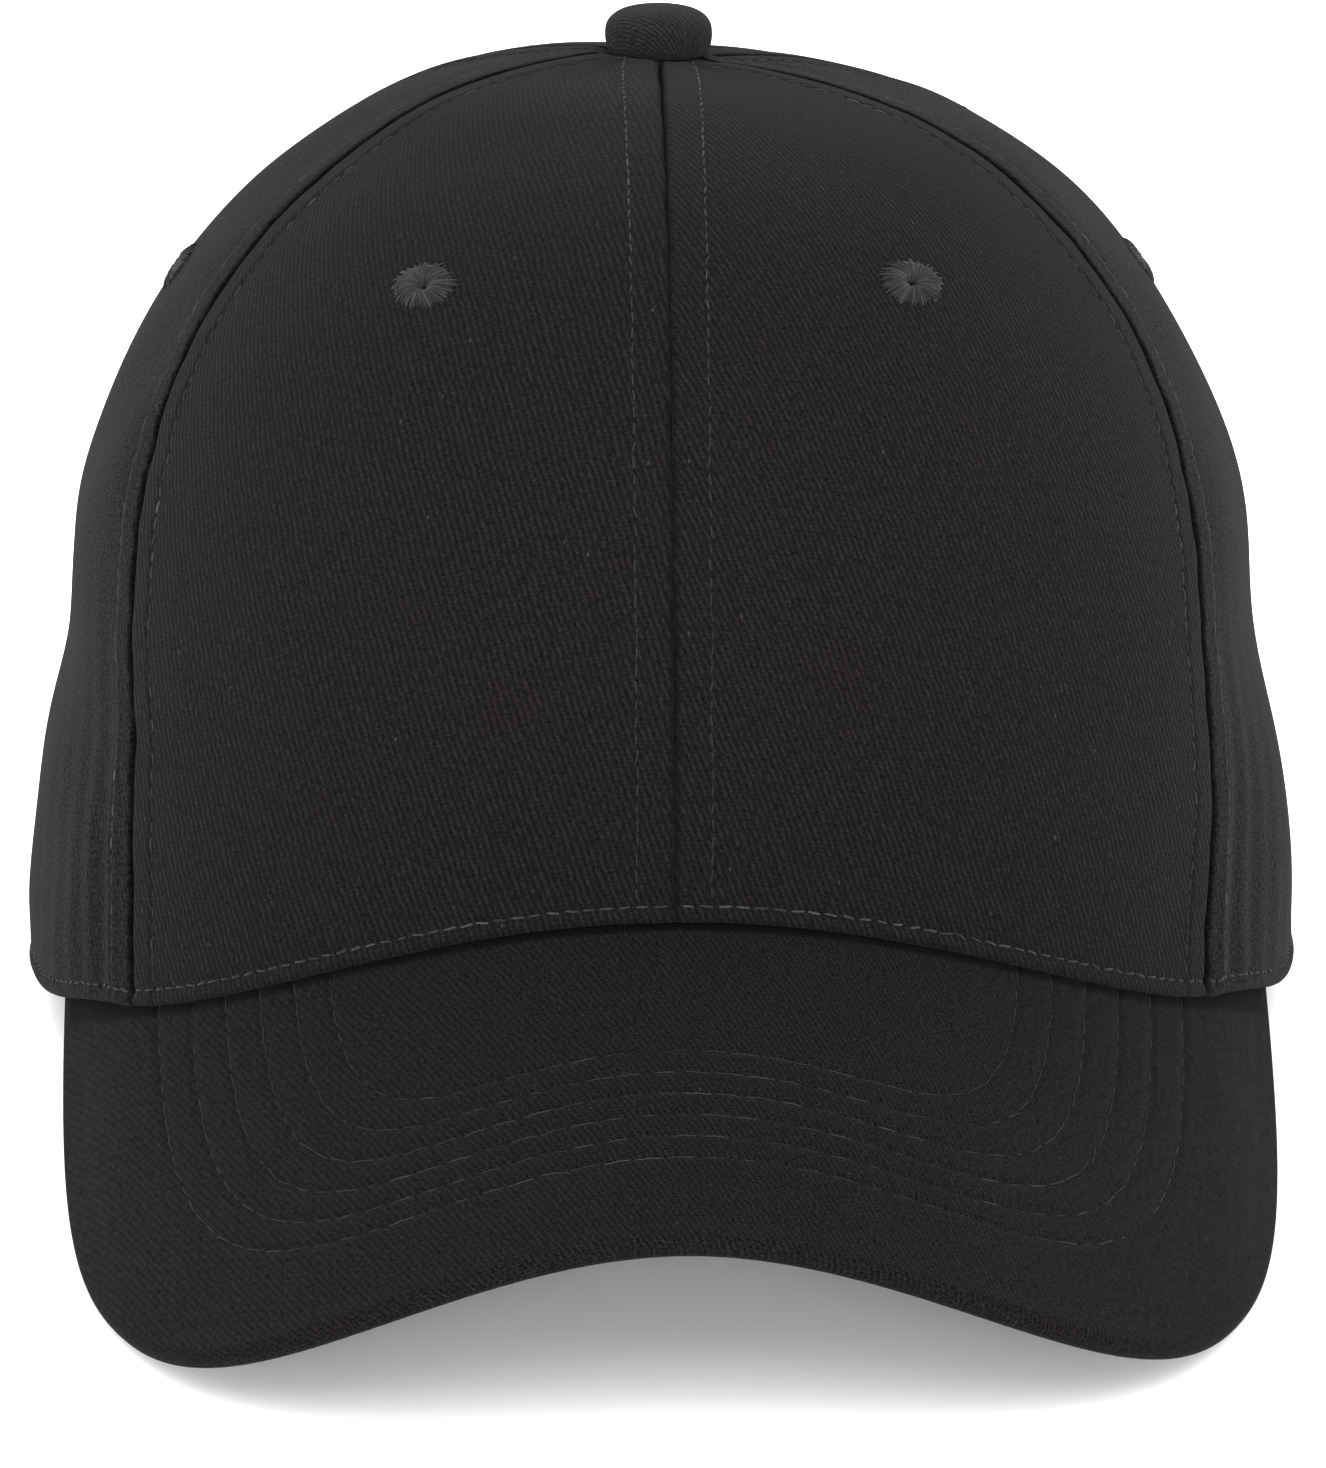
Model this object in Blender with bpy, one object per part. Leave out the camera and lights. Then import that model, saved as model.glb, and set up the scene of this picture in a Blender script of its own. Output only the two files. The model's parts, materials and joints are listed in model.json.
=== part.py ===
"""Six-panel twill cap with a pre-curved brim and a flip-lever strap closure, resting on a flat floor.

The pieces are drawn in the cap's own frame: x across, front towards -y, z up from the level of
the rear hem. The empty "cap_rest" then tips the cap back onto its brim corners and rear hem.
"""

import math

import bmesh
import bpy
from mathutils import Matrix, Vector

for left_over in list(bpy.data.objects):
    bpy.data.objects.remove(left_over)

# Clearances
SEAT = 0.0004
SEAM_GAP = 0.0003
PIN_PLAY = 0.00015
TAB_PLAY = 0.00025

# Crown
CROWN_RADIUS = 0.092
FRONT_REACH = 0.102
CROWN_HEIGHT = 0.127
FRONT_FULLNESS = 3.05
SIDE_FULLNESS = 2.47
WAIST_DEPTH = 0.0035
WAIST_HEIGHT = 0.0427
WAIST_SPREAD = 0.0176
WAIST_RISE_START = math.radians(50)
WAIST_RISE_END = math.radians(90)
WAIST_FADE_START = math.radians(95)
WAIST_FADE_END = math.radians(120)
APEX_HOLE_RADIUS = 0.005
FOOT_REACH = 0.003

# Side hems, which hang below the level of the rear hem
SIDE_SAG = 0.006
SAG_HEIGHT = 0.035
SAG_START = math.radians(55.6)
SAG_FULL = math.radians(80.5)
SAG_FADE = math.radians(105)
SAG_END = math.radians(130)

# Seams, as angles round the crown from its front
FRONT_SEAM_BASE = math.radians(56)
FRONT_SEAM_TOP = math.radians(66)
FRONT_SEAM_SETTLES = 0.5
REAR_SEAM = math.radians(120)

# Crown layers
PANEL_THICKNESS = 0.001
STIFFENER_THICKNESS = 0.0008
STIFFENER_TOP_RADIUS = 0.012
STIFFENER_LIFT = 0.001
TAPE_THICKNESS = 0.0006
TAPE_WIDTH = 0.014
TAPE_TOP_RADIUS = 0.017
SWEATBAND_THICKNESS = 0.0012
SWEATBAND_HEIGHT = 0.032
SWEATBAND_LIFT = 0.0005
POCKET_START = math.radians(95)
POCKET_FULL = math.radians(114)

# Rear opening, its half-angle measured from the centre of the rear
OPENING_HALF_ANGLE = math.radians(32)
OPENING_FOOT = math.radians(0.2)
OPENING_HEIGHT = 0.052
OPENING_FULLNESS = 2.3
OPENING_TAPE_INSET = 0.0005
OPENING_TAPE_WIDTH = 0.0075
OPENING_TAPE_CLEARANCE = 0.004
SWEATBAND_END_SETBACK = math.radians(2)

# Brim
BRIM_DEPTH = 0.068
BRIM_PITCH = math.radians(25)
BRIM_BEND_RADIUS = 0.0669
BRIM_END = math.radians(68)
BRIM_END_WIDTH = 0.0038
BRIM_END_BACKSET = 0.0082
BRIM_FULLNESS = 3.02
BRIM_TUCK = 0.0012
COVER_THICKNESS = 0.0006
BOARD_THICKNESS = 0.0018
COVER_GAP = 0.0003
LIP_GAP = 0.0003

# Button
BUTTON_RADIUS = 0.0073
BUTTON_HEIGHT = 0.0067
BUTTON_CORNER = 0.0026
BUTTON_CROWNING = 0.0011
BUTTON_CLOTH = 0.0008
POST_RADIUS = 0.0022
POST_ENGAGEMENT = 0.0028
BACK_RADIUS = 0.008
BACK_THICKNESS = 0.001

# Eyelets
EYELET_RADIUS = 0.0049
EYELET_BORE = 0.0012
EYELET_BARREL = 0.002
EYELET_RISE = 0.0006
EYELET_DRILL = 0.0054
EYELET_DROPS = {"front": 0.021, "side": 0.031, "rear": 0.031}
EYELET_TURNS = {"front": math.radians(30.5), "side": math.radians(92), "rear": math.radians(150)}

# Closure, with angles from the centre of the rear, positive towards +x
STRAP_HEIGHT = 0.020
STRAP_BOTTOM = 0.0065
STRAP_THICKNESS = 0.0015
STRAP_SEWN_END = math.radians(50)
STRAP_TAIL_END = math.radians(-46)
TAB_END = math.radians(-44)
TAB_PLY = 0.0007
BAR_ANGLE = math.radians(-25.5)
BAR_RADIUS = 0.0008
PIN_ANGLE = math.radians(-14.5)
PIN_RADIUS = 0.00075
PIN_HEAD_RADIUS = 0.0012
PIN_HEAD_THICKNESS = 0.0005
BUCKLE_SHEET = 0.001
BUCKLE_OVERHANG = 0.0028
HUB_WALL = 0.0006
LEVER_SHEET = 0.0012
LEVER_LENGTH = 0.0140
LEVER_TOOTH_WIDTH = 0.001
TOOTH_ROOT = math.radians(30)
LEVER_SIDE_PLAY = 0.0003
TOOTH_GAP = 0.0003
FLANGE_OVER_PIN = 0.0012

# Resting pose: the rear hem meets the floor from here back to the opening
HEM_REST_ANGLE = math.radians(140)

# Search steps
SLOPE_STEP = 0.004
BRIM_SLOPE_STEP = 0.0005
CLIMB_MARGIN = 0.0005
NEAR_APEX = 0.98
STEEPEST_TILT = math.radians(45)
TILT_HALVINGS = 50

# Mesh steps
PANEL_COLUMNS = 10
PANEL_ROWS = 12
ROW_CROWDING = 1.4
TAPE_ROWS = 11
SWEATBAND_COLUMNS = 50
SWEATBAND_ROWS = 3
ARCH_COLUMNS = 8
HEM_COLUMNS = 5
OPENING_TAPE_COLUMNS = 14
BRIM_COLUMNS = 32
BRIM_ROWS = 4
LIP_STEPS = 3
STRAP_COLUMNS = 26
BUCKLE_COLUMNS = 6
ROUND_STEPS = 20
SMALL_ROUND_STEPS = 12
DOME_STEPS = 4
LEVER_STEPS = 5
HUB_STEPS = 6
TAB_STEPS = 7

# Derived places
RIGHT_ANGLE = math.pi / 2
HALF_TURN = math.pi
STIFFENER_DEPTH = PANEL_THICKNESS + SEAT
FRONT_LINING_DEPTH = STIFFENER_DEPTH + STIFFENER_THICKNESS + SEAT
REAR_LINING_DEPTH = PANEL_THICKNESS + 2 * SEAT
BRIM_THICKNESS = 2 * COVER_THICKNESS + 2 * COVER_GAP + BOARD_THICKNESS
BRIM_END_X = (CROWN_RADIUS - BRIM_TUCK) * math.sin(BRIM_END)
BRIM_END_Y = -(FRONT_REACH - BRIM_TUCK) * math.cos(BRIM_END)
BRIM_HALF_WIDTH = BRIM_END_X + BRIM_END_WIDTH
BRIM_CENTRE_Y = BRIM_END_Y + BRIM_END_BACKSET
BRIM_FORWARD = FRONT_REACH + BRIM_DEPTH * math.cos(BRIM_PITCH) + BRIM_CENTRE_Y
STRAP_TOP = STRAP_BOTTOM + STRAP_HEIGHT
HEM_REST_Y = -CROWN_RADIUS * math.cos(HEM_REST_ANGLE)

# Looks, each a colour, a roughness and a metal share
TWILL = ((0.028, 0.028, 0.030), 0.9, 0.0)
LINING = ((0.020, 0.020, 0.021), 0.85, 0.0)
BUCKRAM = ((0.090, 0.088, 0.085), 0.8, 0.0)
BOARD = ((0.400, 0.400, 0.390), 0.5, 0.0)
THREAD = ((0.060, 0.060, 0.062), 0.8, 0.0)
STEEL = ((0.520, 0.510, 0.490), 0.35, 1.0)


def ease(value):
    """A smooth step from 0 to 1."""
    value = min(max(value, 0.0), 1.0)
    return value * value * (3 - 2 * value)


def mix(first, second, share):
    return first + (second - first) * share


# Crown surface


def fullness(turn):
    return mix(FRONT_FULLNESS, SIDE_FULLNESS, ease(abs(turn) / RIGHT_ANGLE))


def waist(turn, height):
    """The share of the radius lost where the crown draws in above its sweatband."""
    across = ease((abs(turn) - WAIST_RISE_START) / (WAIST_RISE_END - WAIST_RISE_START))
    across *= 1 - ease((abs(turn) - WAIST_FADE_START) / (WAIST_FADE_END - WAIST_FADE_START))
    along = math.exp(-(((height - WAIST_HEIGHT) / WAIST_SPREAD) ** 2))
    return WAIST_DEPTH / CROWN_RADIUS * across * along


def sag(turn, height):
    """How far the crown hangs at its sides, most at the hem and nothing at SAG_HEIGHT above it."""
    across = ease((abs(turn) - SAG_START) / (SAG_FULL - SAG_START))
    across *= 1 - ease((abs(turn) - SAG_FADE) / (SAG_END - SAG_FADE))
    return SIDE_SAG * across * max(1 - height / SAG_HEIGHT, 0.0) ** 2


def crown_surface(turn, climb):
    """A point on the outside: turn is the angle from the front, climb runs from 0 at the base to 1."""
    power = 2 / fullness(turn)
    angle = min(max(climb, 0.0), 1.0) * RIGHT_ANGLE
    height = CROWN_HEIGHT * math.sin(angle) ** power
    reach = math.cos(angle) ** power * (1 - waist(turn, height))
    forward = FRONT_REACH if abs(turn) < RIGHT_ANGLE else CROWN_RADIUS
    x = CROWN_RADIUS * reach * math.sin(turn)
    y = -forward * reach * math.cos(turn)
    return Vector((x, y, height - sag(turn, height)))


def crown_normal(turn, climb):
    low = max(climb - SLOPE_STEP, CLIMB_MARGIN)
    high = min(climb + SLOPE_STEP, 1 - CLIMB_MARGIN)
    along = crown_surface(turn, high) - crown_surface(turn, low)
    across = crown_surface(turn + SLOPE_STEP, climb) - crown_surface(turn - SLOPE_STEP, climb)
    return across.cross(along).normalized()


def crown_point(turn, climb, depth):
    return crown_surface(turn, climb) - crown_normal(turn, climb) * depth


def climb_to(turn, height):
    """The climb at which the crown has this height, before its sag is taken off."""
    share = min(max(height / CROWN_HEIGHT, 0.0), 1.0)
    return math.asin(share ** (fullness(turn) / 2)) / RIGHT_ANGLE


def climb_at_radius(turn, radius):
    """The climb at which the crown, near its apex, has come in to this radius."""
    forward = FRONT_REACH if abs(turn) < RIGHT_ANGLE else CROWN_RADIUS
    size = math.hypot(CROWN_RADIUS * math.sin(turn), forward * math.cos(turn))
    return math.acos((radius / size) ** (fullness(turn) / 2)) / RIGHT_ANGLE


def plan_radius(turn, climb):
    return crown_surface(turn, climb).xy.length


def turn_of(place):
    forward = FRONT_REACH if place.y < 0 else CROWN_RADIUS
    return math.atan2(place.x / CROWN_RADIUS, -place.y / forward)


# Seams


def centre_seam(climb):
    return 0.0


def front_seam(climb):
    return mix(FRONT_SEAM_BASE, FRONT_SEAM_TOP, ease(climb / FRONT_SEAM_SETTLES))


def rear_seam(climb):
    return REAR_SEAM


def back_seam(climb):
    return HALF_TURN


# Brim surface


def brim_height(x, y):
    """The top of the brim: a bent sheet that falls away forwards and hangs with the hem at its ends."""
    bend = (BRIM_END_X**2 - x * x) / (2 * BRIM_BEND_RADIUS)
    hang = sag(math.asin(min(abs(x) / CROWN_RADIUS, 1.0)), 0.0)
    return bend + (y - BRIM_END_Y) * math.tan(BRIM_PITCH) - hang - SEAT


def brim_point(plan, depth):
    lower = brim_height(plan.x + BRIM_SLOPE_STEP, plan.y)
    higher = brim_height(plan.x - BRIM_SLOPE_STEP, plan.y)
    slope = Vector(((higher - lower) / (2 * BRIM_SLOPE_STEP), -math.tan(BRIM_PITCH), 1)).normalized()
    return Vector((plan.x, plan.y, brim_height(plan.x, plan.y))) - slope * depth


def brim_outline(angle):
    """The outer edge in plan, a rounded rectangle about the line between the brim's ends."""
    wide = (abs(math.sin(angle)) / BRIM_HALF_WIDTH) ** BRIM_FULLNESS
    deep = (abs(math.cos(angle)) / BRIM_FORWARD) ** BRIM_FULLNESS
    reach = (wide + deep) ** (-1 / BRIM_FULLNESS)
    return Vector((reach * math.sin(angle), BRIM_CENTRE_Y - reach * math.cos(angle)))


def brim_columns():
    """Pairs of plan points, from the tucked inner edge to the outer edge."""
    last = math.atan2(BRIM_HALF_WIDTH, BRIM_END_BACKSET)
    pairs = []
    for column in range(BRIM_COLUMNS + 1):
        share = 2 * column / BRIM_COLUMNS - 1
        turn = share * BRIM_END
        inner = Vector(
            (
                (CROWN_RADIUS - BRIM_TUCK) * math.sin(turn),
                -(FRONT_REACH - BRIM_TUCK) * math.cos(turn),
            )
        )
        pairs.append((inner, brim_outline(share * last)))
    return pairs


def lip_row(inner, outer, angle, radius):
    """A point of the rounded edge: angle 0 faces up, a half-turn faces down."""
    edge_radius = BRIM_THICKNESS / 2
    inward = (inner - outer).normalized()
    root = brim_point(outer + inward * edge_radius, 0)
    middle = brim_point(outer + inward * edge_radius, edge_radius)
    up = (root - middle).normalized()
    ahead = brim_point(outer, 0) - root
    out = (ahead - up * ahead.dot(up)).normalized()
    return middle + up * (math.cos(angle) * radius) + out * (math.sin(angle) * radius)


def brim_cover_rows(from_top):
    """The outer and inner grids of a cloth cover that wraps half of the brim's edge."""
    edge_radius = BRIM_THICKNESS / 2
    lining_radius = edge_radius - COVER_THICKNESS
    last_angle = RIGHT_ANGLE - LIP_GAP / 2 / lining_radius
    skin = 0 if from_top else BRIM_THICKNESS
    under = COVER_THICKNESS if from_top else BRIM_THICKNESS - COVER_THICKNESS
    grids = ([], [])
    for inner, outer in brim_columns():
        stop = outer + (inner - outer).normalized() * edge_radius
        for grid, depth, radius in zip(grids, (skin, under), (edge_radius, lining_radius)):
            row = [brim_point(inner.lerp(stop, k / BRIM_ROWS), depth) for k in range(BRIM_ROWS + 1)]
            for step in range(1, LIP_STEPS + 1):
                angle = last_angle * step / LIP_STEPS
                row.append(lip_row(inner, outer, angle if from_top else HALF_TURN - angle, radius))
            grid.append(row)
    return grids


def find_rest_tilt():
    """The tip at which the brim's lowest edge and the rear hem meet one floor plane."""
    skin = [point for row in brim_cover_rows(False)[0] for point in row]
    low, high = 0.0, STEEPEST_TILT
    for _ in range(TILT_HALVINGS):
        middle = (low + high) / 2
        if min(p.z - (p.y - HEM_REST_Y) * math.tan(middle) for p in skin) < 0:
            low = middle
        else:
            high = middle
    return low


REST_TILT = find_rest_tilt()


def support_height(place):
    """What the hem sits on: the brim at the front, nothing at the sides, and the floor at the rear."""
    hanging = -sag(turn_of(place), 0.0)
    seated = brim_height(place.x, place.y) + SEAT if place.y < BRIM_END_Y else hanging
    resting = (place.y - HEM_REST_Y) * math.tan(REST_TILT)
    return max(seated, resting, hanging)


def hem_height(turn):
    """The hem's height on the crown, before its sag is taken off."""
    return support_height(crown_surface(turn, 0)) + sag(turn, 0.0)


# Mesh helpers

cap_rest = bpy.data.objects.new("cap_rest", None)
bpy.context.scene.collection.objects.link(cap_rest)


def finish(name, mesh, look, smooth):
    colour, roughness, metallic = look
    bmesh.ops.recalc_face_normals(mesh, faces=mesh.faces)
    data = bpy.data.meshes.new(name)
    mesh.to_mesh(data)
    mesh.free()
    for face in data.polygons:
        face.use_smooth = smooth
    made = bpy.data.objects.new(name, data)
    bpy.context.scene.collection.objects.link(made)
    made.parent = cap_rest
    material = bpy.data.materials.new(name)
    material.use_nodes = True
    shader = material.node_tree.nodes["Principled BSDF"]
    shader.inputs["Base Color"].default_value = (*colour, 1)
    shader.inputs["Roughness"].default_value = roughness
    shader.inputs["Metallic"].default_value = metallic
    data.materials.append(material)
    return made


def shell(name, outer, inner, look):
    """A closed sheet between two matching grids of points."""
    mesh = bmesh.new()
    skins = [[[mesh.verts.new(point) for point in row] for row in grid] for grid in (outer, inner)]
    rows, columns = len(outer), len(outer[0])
    for skin in skins:
        for i in range(rows - 1):
            for j in range(columns - 1):
                mesh.faces.new((skin[i][j], skin[i][j + 1], skin[i + 1][j + 1], skin[i + 1][j]))
    border = [(0, j) for j in range(columns)]
    border += [(i, columns - 1) for i in range(1, rows)]
    border += [(rows - 1, j) for j in range(columns - 2, -1, -1)]
    border += [(i, 0) for i in range(rows - 2, 0, -1)]
    for (i, j), (k, m) in zip(border, border[1:] + border[:1]):
        mesh.faces.new((skins[0][i][j], skins[0][k][m], skins[1][k][m], skins[1][i][j]))
    return finish(name, mesh, look, True)


def sweep(name, sections, look):
    """A closed body through matching closed sections, capped at both ends."""
    mesh = bmesh.new()
    loops = [[mesh.verts.new(point) for point in section] for section in sections]
    count = len(loops[0])
    for first, second in zip(loops, loops[1:]):
        for i in range(count):
            j = (i + 1) % count
            mesh.faces.new((first[i], first[j], second[j], second[i]))
    mesh.faces.new(loops[0])
    mesh.faces.new(loops[-1])
    return finish(name, mesh, look, False)


def prism(name, outline, bottom, top, look):
    """An outline in plan, raised between two heights."""
    levels = [[Vector((point.x, point.y, height)) for point in outline] for height in (bottom, top)]
    return sweep(name, levels, look)


def lathe(name, profile, steps, look):
    """A closed profile of (radius, height) turned round z. Points on the axis stay single."""
    mesh = bmesh.new()
    rings = []
    for radius, height in profile:
        if radius == 0:
            rings.append([mesh.verts.new((0, 0, height))] * steps)
            continue
        angles = [2 * math.pi * k / steps for k in range(steps)]
        rings.append([mesh.verts.new((radius * math.cos(a), radius * math.sin(a), height)) for a in angles])
    closes = profile[0][0] > 0 or profile[-1][0] > 0
    for first, second in zip(rings, rings[1:] + (rings[:1] if closes else [])):
        for i in range(steps):
            j = (i + 1) % steps
            corners = list(dict.fromkeys((first[i], first[j], second[j], second[i])))
            if len(corners) > 2:
                mesh.faces.new(corners)
    return finish(name, mesh, look, True)


def boolean(piece, other, operation):
    change = piece.modifiers.new(other.name, "BOOLEAN")
    change.operation = operation
    change.solver = "EXACT"
    change.object = other
    other.hide_render = True
    other.display_type = "WIRE"


# Crown pieces


def crown_sheet(columns, rows, outer_depth, thickness):
    """A sheet over crown columns: each column gives its climb limits and its turn at a climb."""
    grids = []
    for depth in (outer_depth, outer_depth + thickness):
        grid = []
        for first, last, turn_at in columns:
            climbs = [mix(first, last, (row / rows) ** ROW_CROWDING) for row in range(rows + 1)]
            grid.append([crown_point(turn_at(climb), climb, depth) for climb in climbs])
        grids.append(grid)
    return grids


def seam_side(seam, side, inset):
    """The turn a small way off a seam, the same distance all the way up."""

    def turn_at(climb):
        turn = seam(climb)
        return turn + side * math.asin(min(inset / plan_radius(turn, climb), 1.0))

    return turn_at


def panel_columns(left, right, shares, bottom, top_radius, sign):
    """Columns between two seams, each from the bottom edge to the hole at the apex."""
    inside_left = seam_side(left, 1, SEAM_GAP / 2)
    inside_right = seam_side(right, -1, SEAM_GAP / 2)
    columns = []
    for share in shares:

        def turn_at(climb, share=share):
            return sign * mix(inside_left(climb), inside_right(climb), share)

        low_turn = turn_at(0.0)
        first = climb_to(low_turn, bottom(low_turn))
        columns.append((first, climb_at_radius(turn_at(NEAR_APEX), top_radius), turn_at))
    return columns


def settle_feet(grids):
    """Gives a sheet's bottom edge the slope of what it sits on, through the sheet's thickness."""
    for grid in grids:
        for column in grid:
            under = support_height(column[0])
            if abs(column[0].z - under) < FOOT_REACH:
                column[0].z = under


def opening_height(away):
    """The edge of the rear opening above a point this far round from the centre of the rear."""
    share = min(away / OPENING_HALF_ANGLE, 1.0)
    return OPENING_HEIGHT * (1 - share**OPENING_FULLNESS) ** (1 / OPENING_FULLNESS)


def rear_bottom(turn):
    return max(hem_height(turn), opening_height(HALF_TURN - abs(turn)))


def rear_shares():
    """Column places on a rear panel: along the hem, then closing up round the opening's arch."""
    span = HALF_TURN - REAR_SEAM
    hem = span - OPENING_HALF_ANGLE - OPENING_FOOT
    shares = [hem / span * k / HEM_COLUMNS for k in range(HEM_COLUMNS + 1)]
    for k in range(1, ARCH_COLUMNS + 1):
        away = OPENING_HALF_ANGLE * math.cos(RIGHT_ANGLE * k / ARCH_COLUMNS)
        shares.append(1 - away / span)
    return shares


def stiffener_bottom(turn):
    return hem_height(turn) + STIFFENER_LIFT


even = [k / PANEL_COLUMNS for k in range(PANEL_COLUMNS + 1)]
panel_kinds = {
    "front": (centre_seam, front_seam, even, hem_height),
    "side": (front_seam, rear_seam, even, hem_height),
    "rear": (rear_seam, back_seam, rear_shares(), rear_bottom),
}
panels = {}
stiffeners = {}
for side, sign in (("right", -1), ("left", 1)):
    for kind, (first_seam, second_seam, shares, bottom) in panel_kinds.items():
        columns = panel_columns(first_seam, second_seam, shares, bottom, APEX_HOLE_RADIUS, sign)
        grids = crown_sheet(columns, PANEL_ROWS, 0, PANEL_THICKNESS)
        settle_feet(grids)
        panels[kind, side] = shell(f"{kind}_panel_{side}", *grids, TWILL)
    columns = panel_columns(centre_seam, front_seam, even, stiffener_bottom, STIFFENER_TOP_RADIUS, sign)
    grids = crown_sheet(columns, PANEL_ROWS, STIFFENER_DEPTH, STIFFENER_THICKNESS)
    stiffeners[side] = shell(f"front_stiffener_{side}", *grids, BUCKRAM)


def seam_tape(name, seam, sign, bottom, depth):
    """A strip over a seam's inside, from this height up to the tapes' meeting round the button."""
    low = climb_to(sign * seam(0.0), bottom)
    columns = []
    for side in (-1, 0, 1):

        def turn_at(climb, side=side):
            return sign * seam_side(seam, side, TAPE_WIDTH / 2)(climb)

        columns.append((low, climb_at_radius(sign * seam(1.0), TAPE_TOP_RADIUS), turn_at))
    grids = crown_sheet(columns, TAPE_ROWS, depth, TAPE_THICKNESS)
    return shell(name, *grids, LINING)


def above_sweatband(turn):
    return hem_height(turn) + SWEATBAND_LIFT + SWEATBAND_HEIGHT + 2 * SEAT


seam_tape("seam_tape_front", centre_seam, 1, above_sweatband(0), FRONT_LINING_DEPTH)
for side, sign in (("right", -1), ("left", 1)):
    low = above_sweatband(FRONT_SEAM_BASE)
    seam_tape(f"seam_tape_front_{side}", front_seam, sign, low, FRONT_LINING_DEPTH)
    low = above_sweatband(REAR_SEAM)
    seam_tape(f"seam_tape_rear_{side}", rear_seam, sign, low, REAR_LINING_DEPTH)
low = OPENING_HEIGHT + OPENING_TAPE_INSET + OPENING_TAPE_WIDTH + 2 * SEAT
seam_tape("seam_tape_rear", back_seam, 1, low, REAR_LINING_DEPTH)


# Closure radii, from the panel's inside inwards
panel_lean = CROWN_RADIUS - plan_radius(HALF_TURN - OPENING_HALF_ANGLE, climb_to(HALF_TURN, STRAP_TOP))
tab_outer = CROWN_RADIUS - panel_lean - PANEL_THICKNESS - SEAT
tab_inner = tab_outer - 2 * TAB_PLY
strap_outer = tab_inner - SEAT
strap_inner = strap_outer - STRAP_THICKNESS
pocket_depth = CROWN_RADIUS - strap_inner + SEAT


def sweatband():
    end = HALF_TURN - OPENING_HALF_ANGLE - SWEATBAND_END_SETBACK
    grids = ([], [])
    for column in range(SWEATBAND_COLUMNS + 1):
        turn = end * (2 * column / SWEATBAND_COLUMNS - 1)
        pocket = ease((abs(turn) - POCKET_START) / (POCKET_FULL - POCKET_START))
        depth = mix(FRONT_LINING_DEPTH, pocket_depth, pocket)
        bottom = hem_height(turn) + SWEATBAND_LIFT
        climbs = [
            climb_to(turn, bottom + SWEATBAND_HEIGHT * row / SWEATBAND_ROWS)
            for row in range(SWEATBAND_ROWS + 1)
        ]
        grids[0].append([crown_point(turn, climb, depth) for climb in climbs])
        grids[1].append([crown_point(turn, climb, depth + SWEATBAND_THICKNESS) for climb in climbs])
    return shell("sweatband", *grids, LINING)


def rear_opening_tape():
    """A binding strip inside the arch, from above the strap on one side to the other."""
    stop = math.acos(((STRAP_TOP + OPENING_TAPE_CLEARANCE) / OPENING_HEIGHT) ** (OPENING_FULLNESS / 2))
    grids = ([], [])
    for column in range(OPENING_TAPE_COLUMNS + 1):
        angle = stop * (2 * column / OPENING_TAPE_COLUMNS - 1)
        rows = ([], [])
        for offset in (OPENING_TAPE_INSET, OPENING_TAPE_INSET + OPENING_TAPE_WIDTH):
            wide = OPENING_HALF_ANGLE + offset / CROWN_RADIUS
            away = math.copysign(wide * abs(math.sin(angle)) ** (2 / OPENING_FULLNESS), angle)
            height = (OPENING_HEIGHT + offset) * math.cos(angle) ** (2 / OPENING_FULLNESS)
            turn = HALF_TURN - away
            climb = climb_to(HALF_TURN, height)
            rows[0].append(crown_point(turn, climb, REAR_LINING_DEPTH))
            rows[1].append(crown_point(turn, climb, REAR_LINING_DEPTH + TAPE_THICKNESS))
        grids[0].append(rows[0])
        grids[1].append(rows[1])
    return shell("rear_opening_tape", *grids, LINING)


sweatband()
rear_opening_tape()


# Brim pieces

shell("brim_top_cover", *brim_cover_rows(True), TWILL)
shell("brim_under_cover", *brim_cover_rows(False), TWILL)


def brim_board():
    top = COVER_THICKNESS + COVER_GAP
    depths = (top, top + BOARD_THICKNESS)
    grids = ([], [])
    for inner, outer in brim_columns():
        stop = outer + (inner - outer).normalized() * (top + 2 * COVER_GAP)
        for grid, depth in zip(grids, depths):
            grid.append([brim_point(inner.lerp(stop, k / BRIM_ROWS), depth) for k in range(BRIM_ROWS + 1)])
    return shell("brim_board", *grids, BOARD)


brim_board()


# Button


def dome(radius, height, corner, crowning):
    """The outer profile of a domed cap, from its foot to the axis."""
    shoulder = radius - corner
    points = [(radius, 0.0)]
    for step in range(DOME_STEPS + 1):
        angle = RIGHT_ANGLE * step / DOME_STEPS
        drop = crowning + corner * (1 - math.sin(angle))
        points.append((shoulder + corner * math.cos(angle), height - drop))
    points.append((shoulder / 2, height - crowning / 4))
    points.append((0.0, height))
    return points


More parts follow.
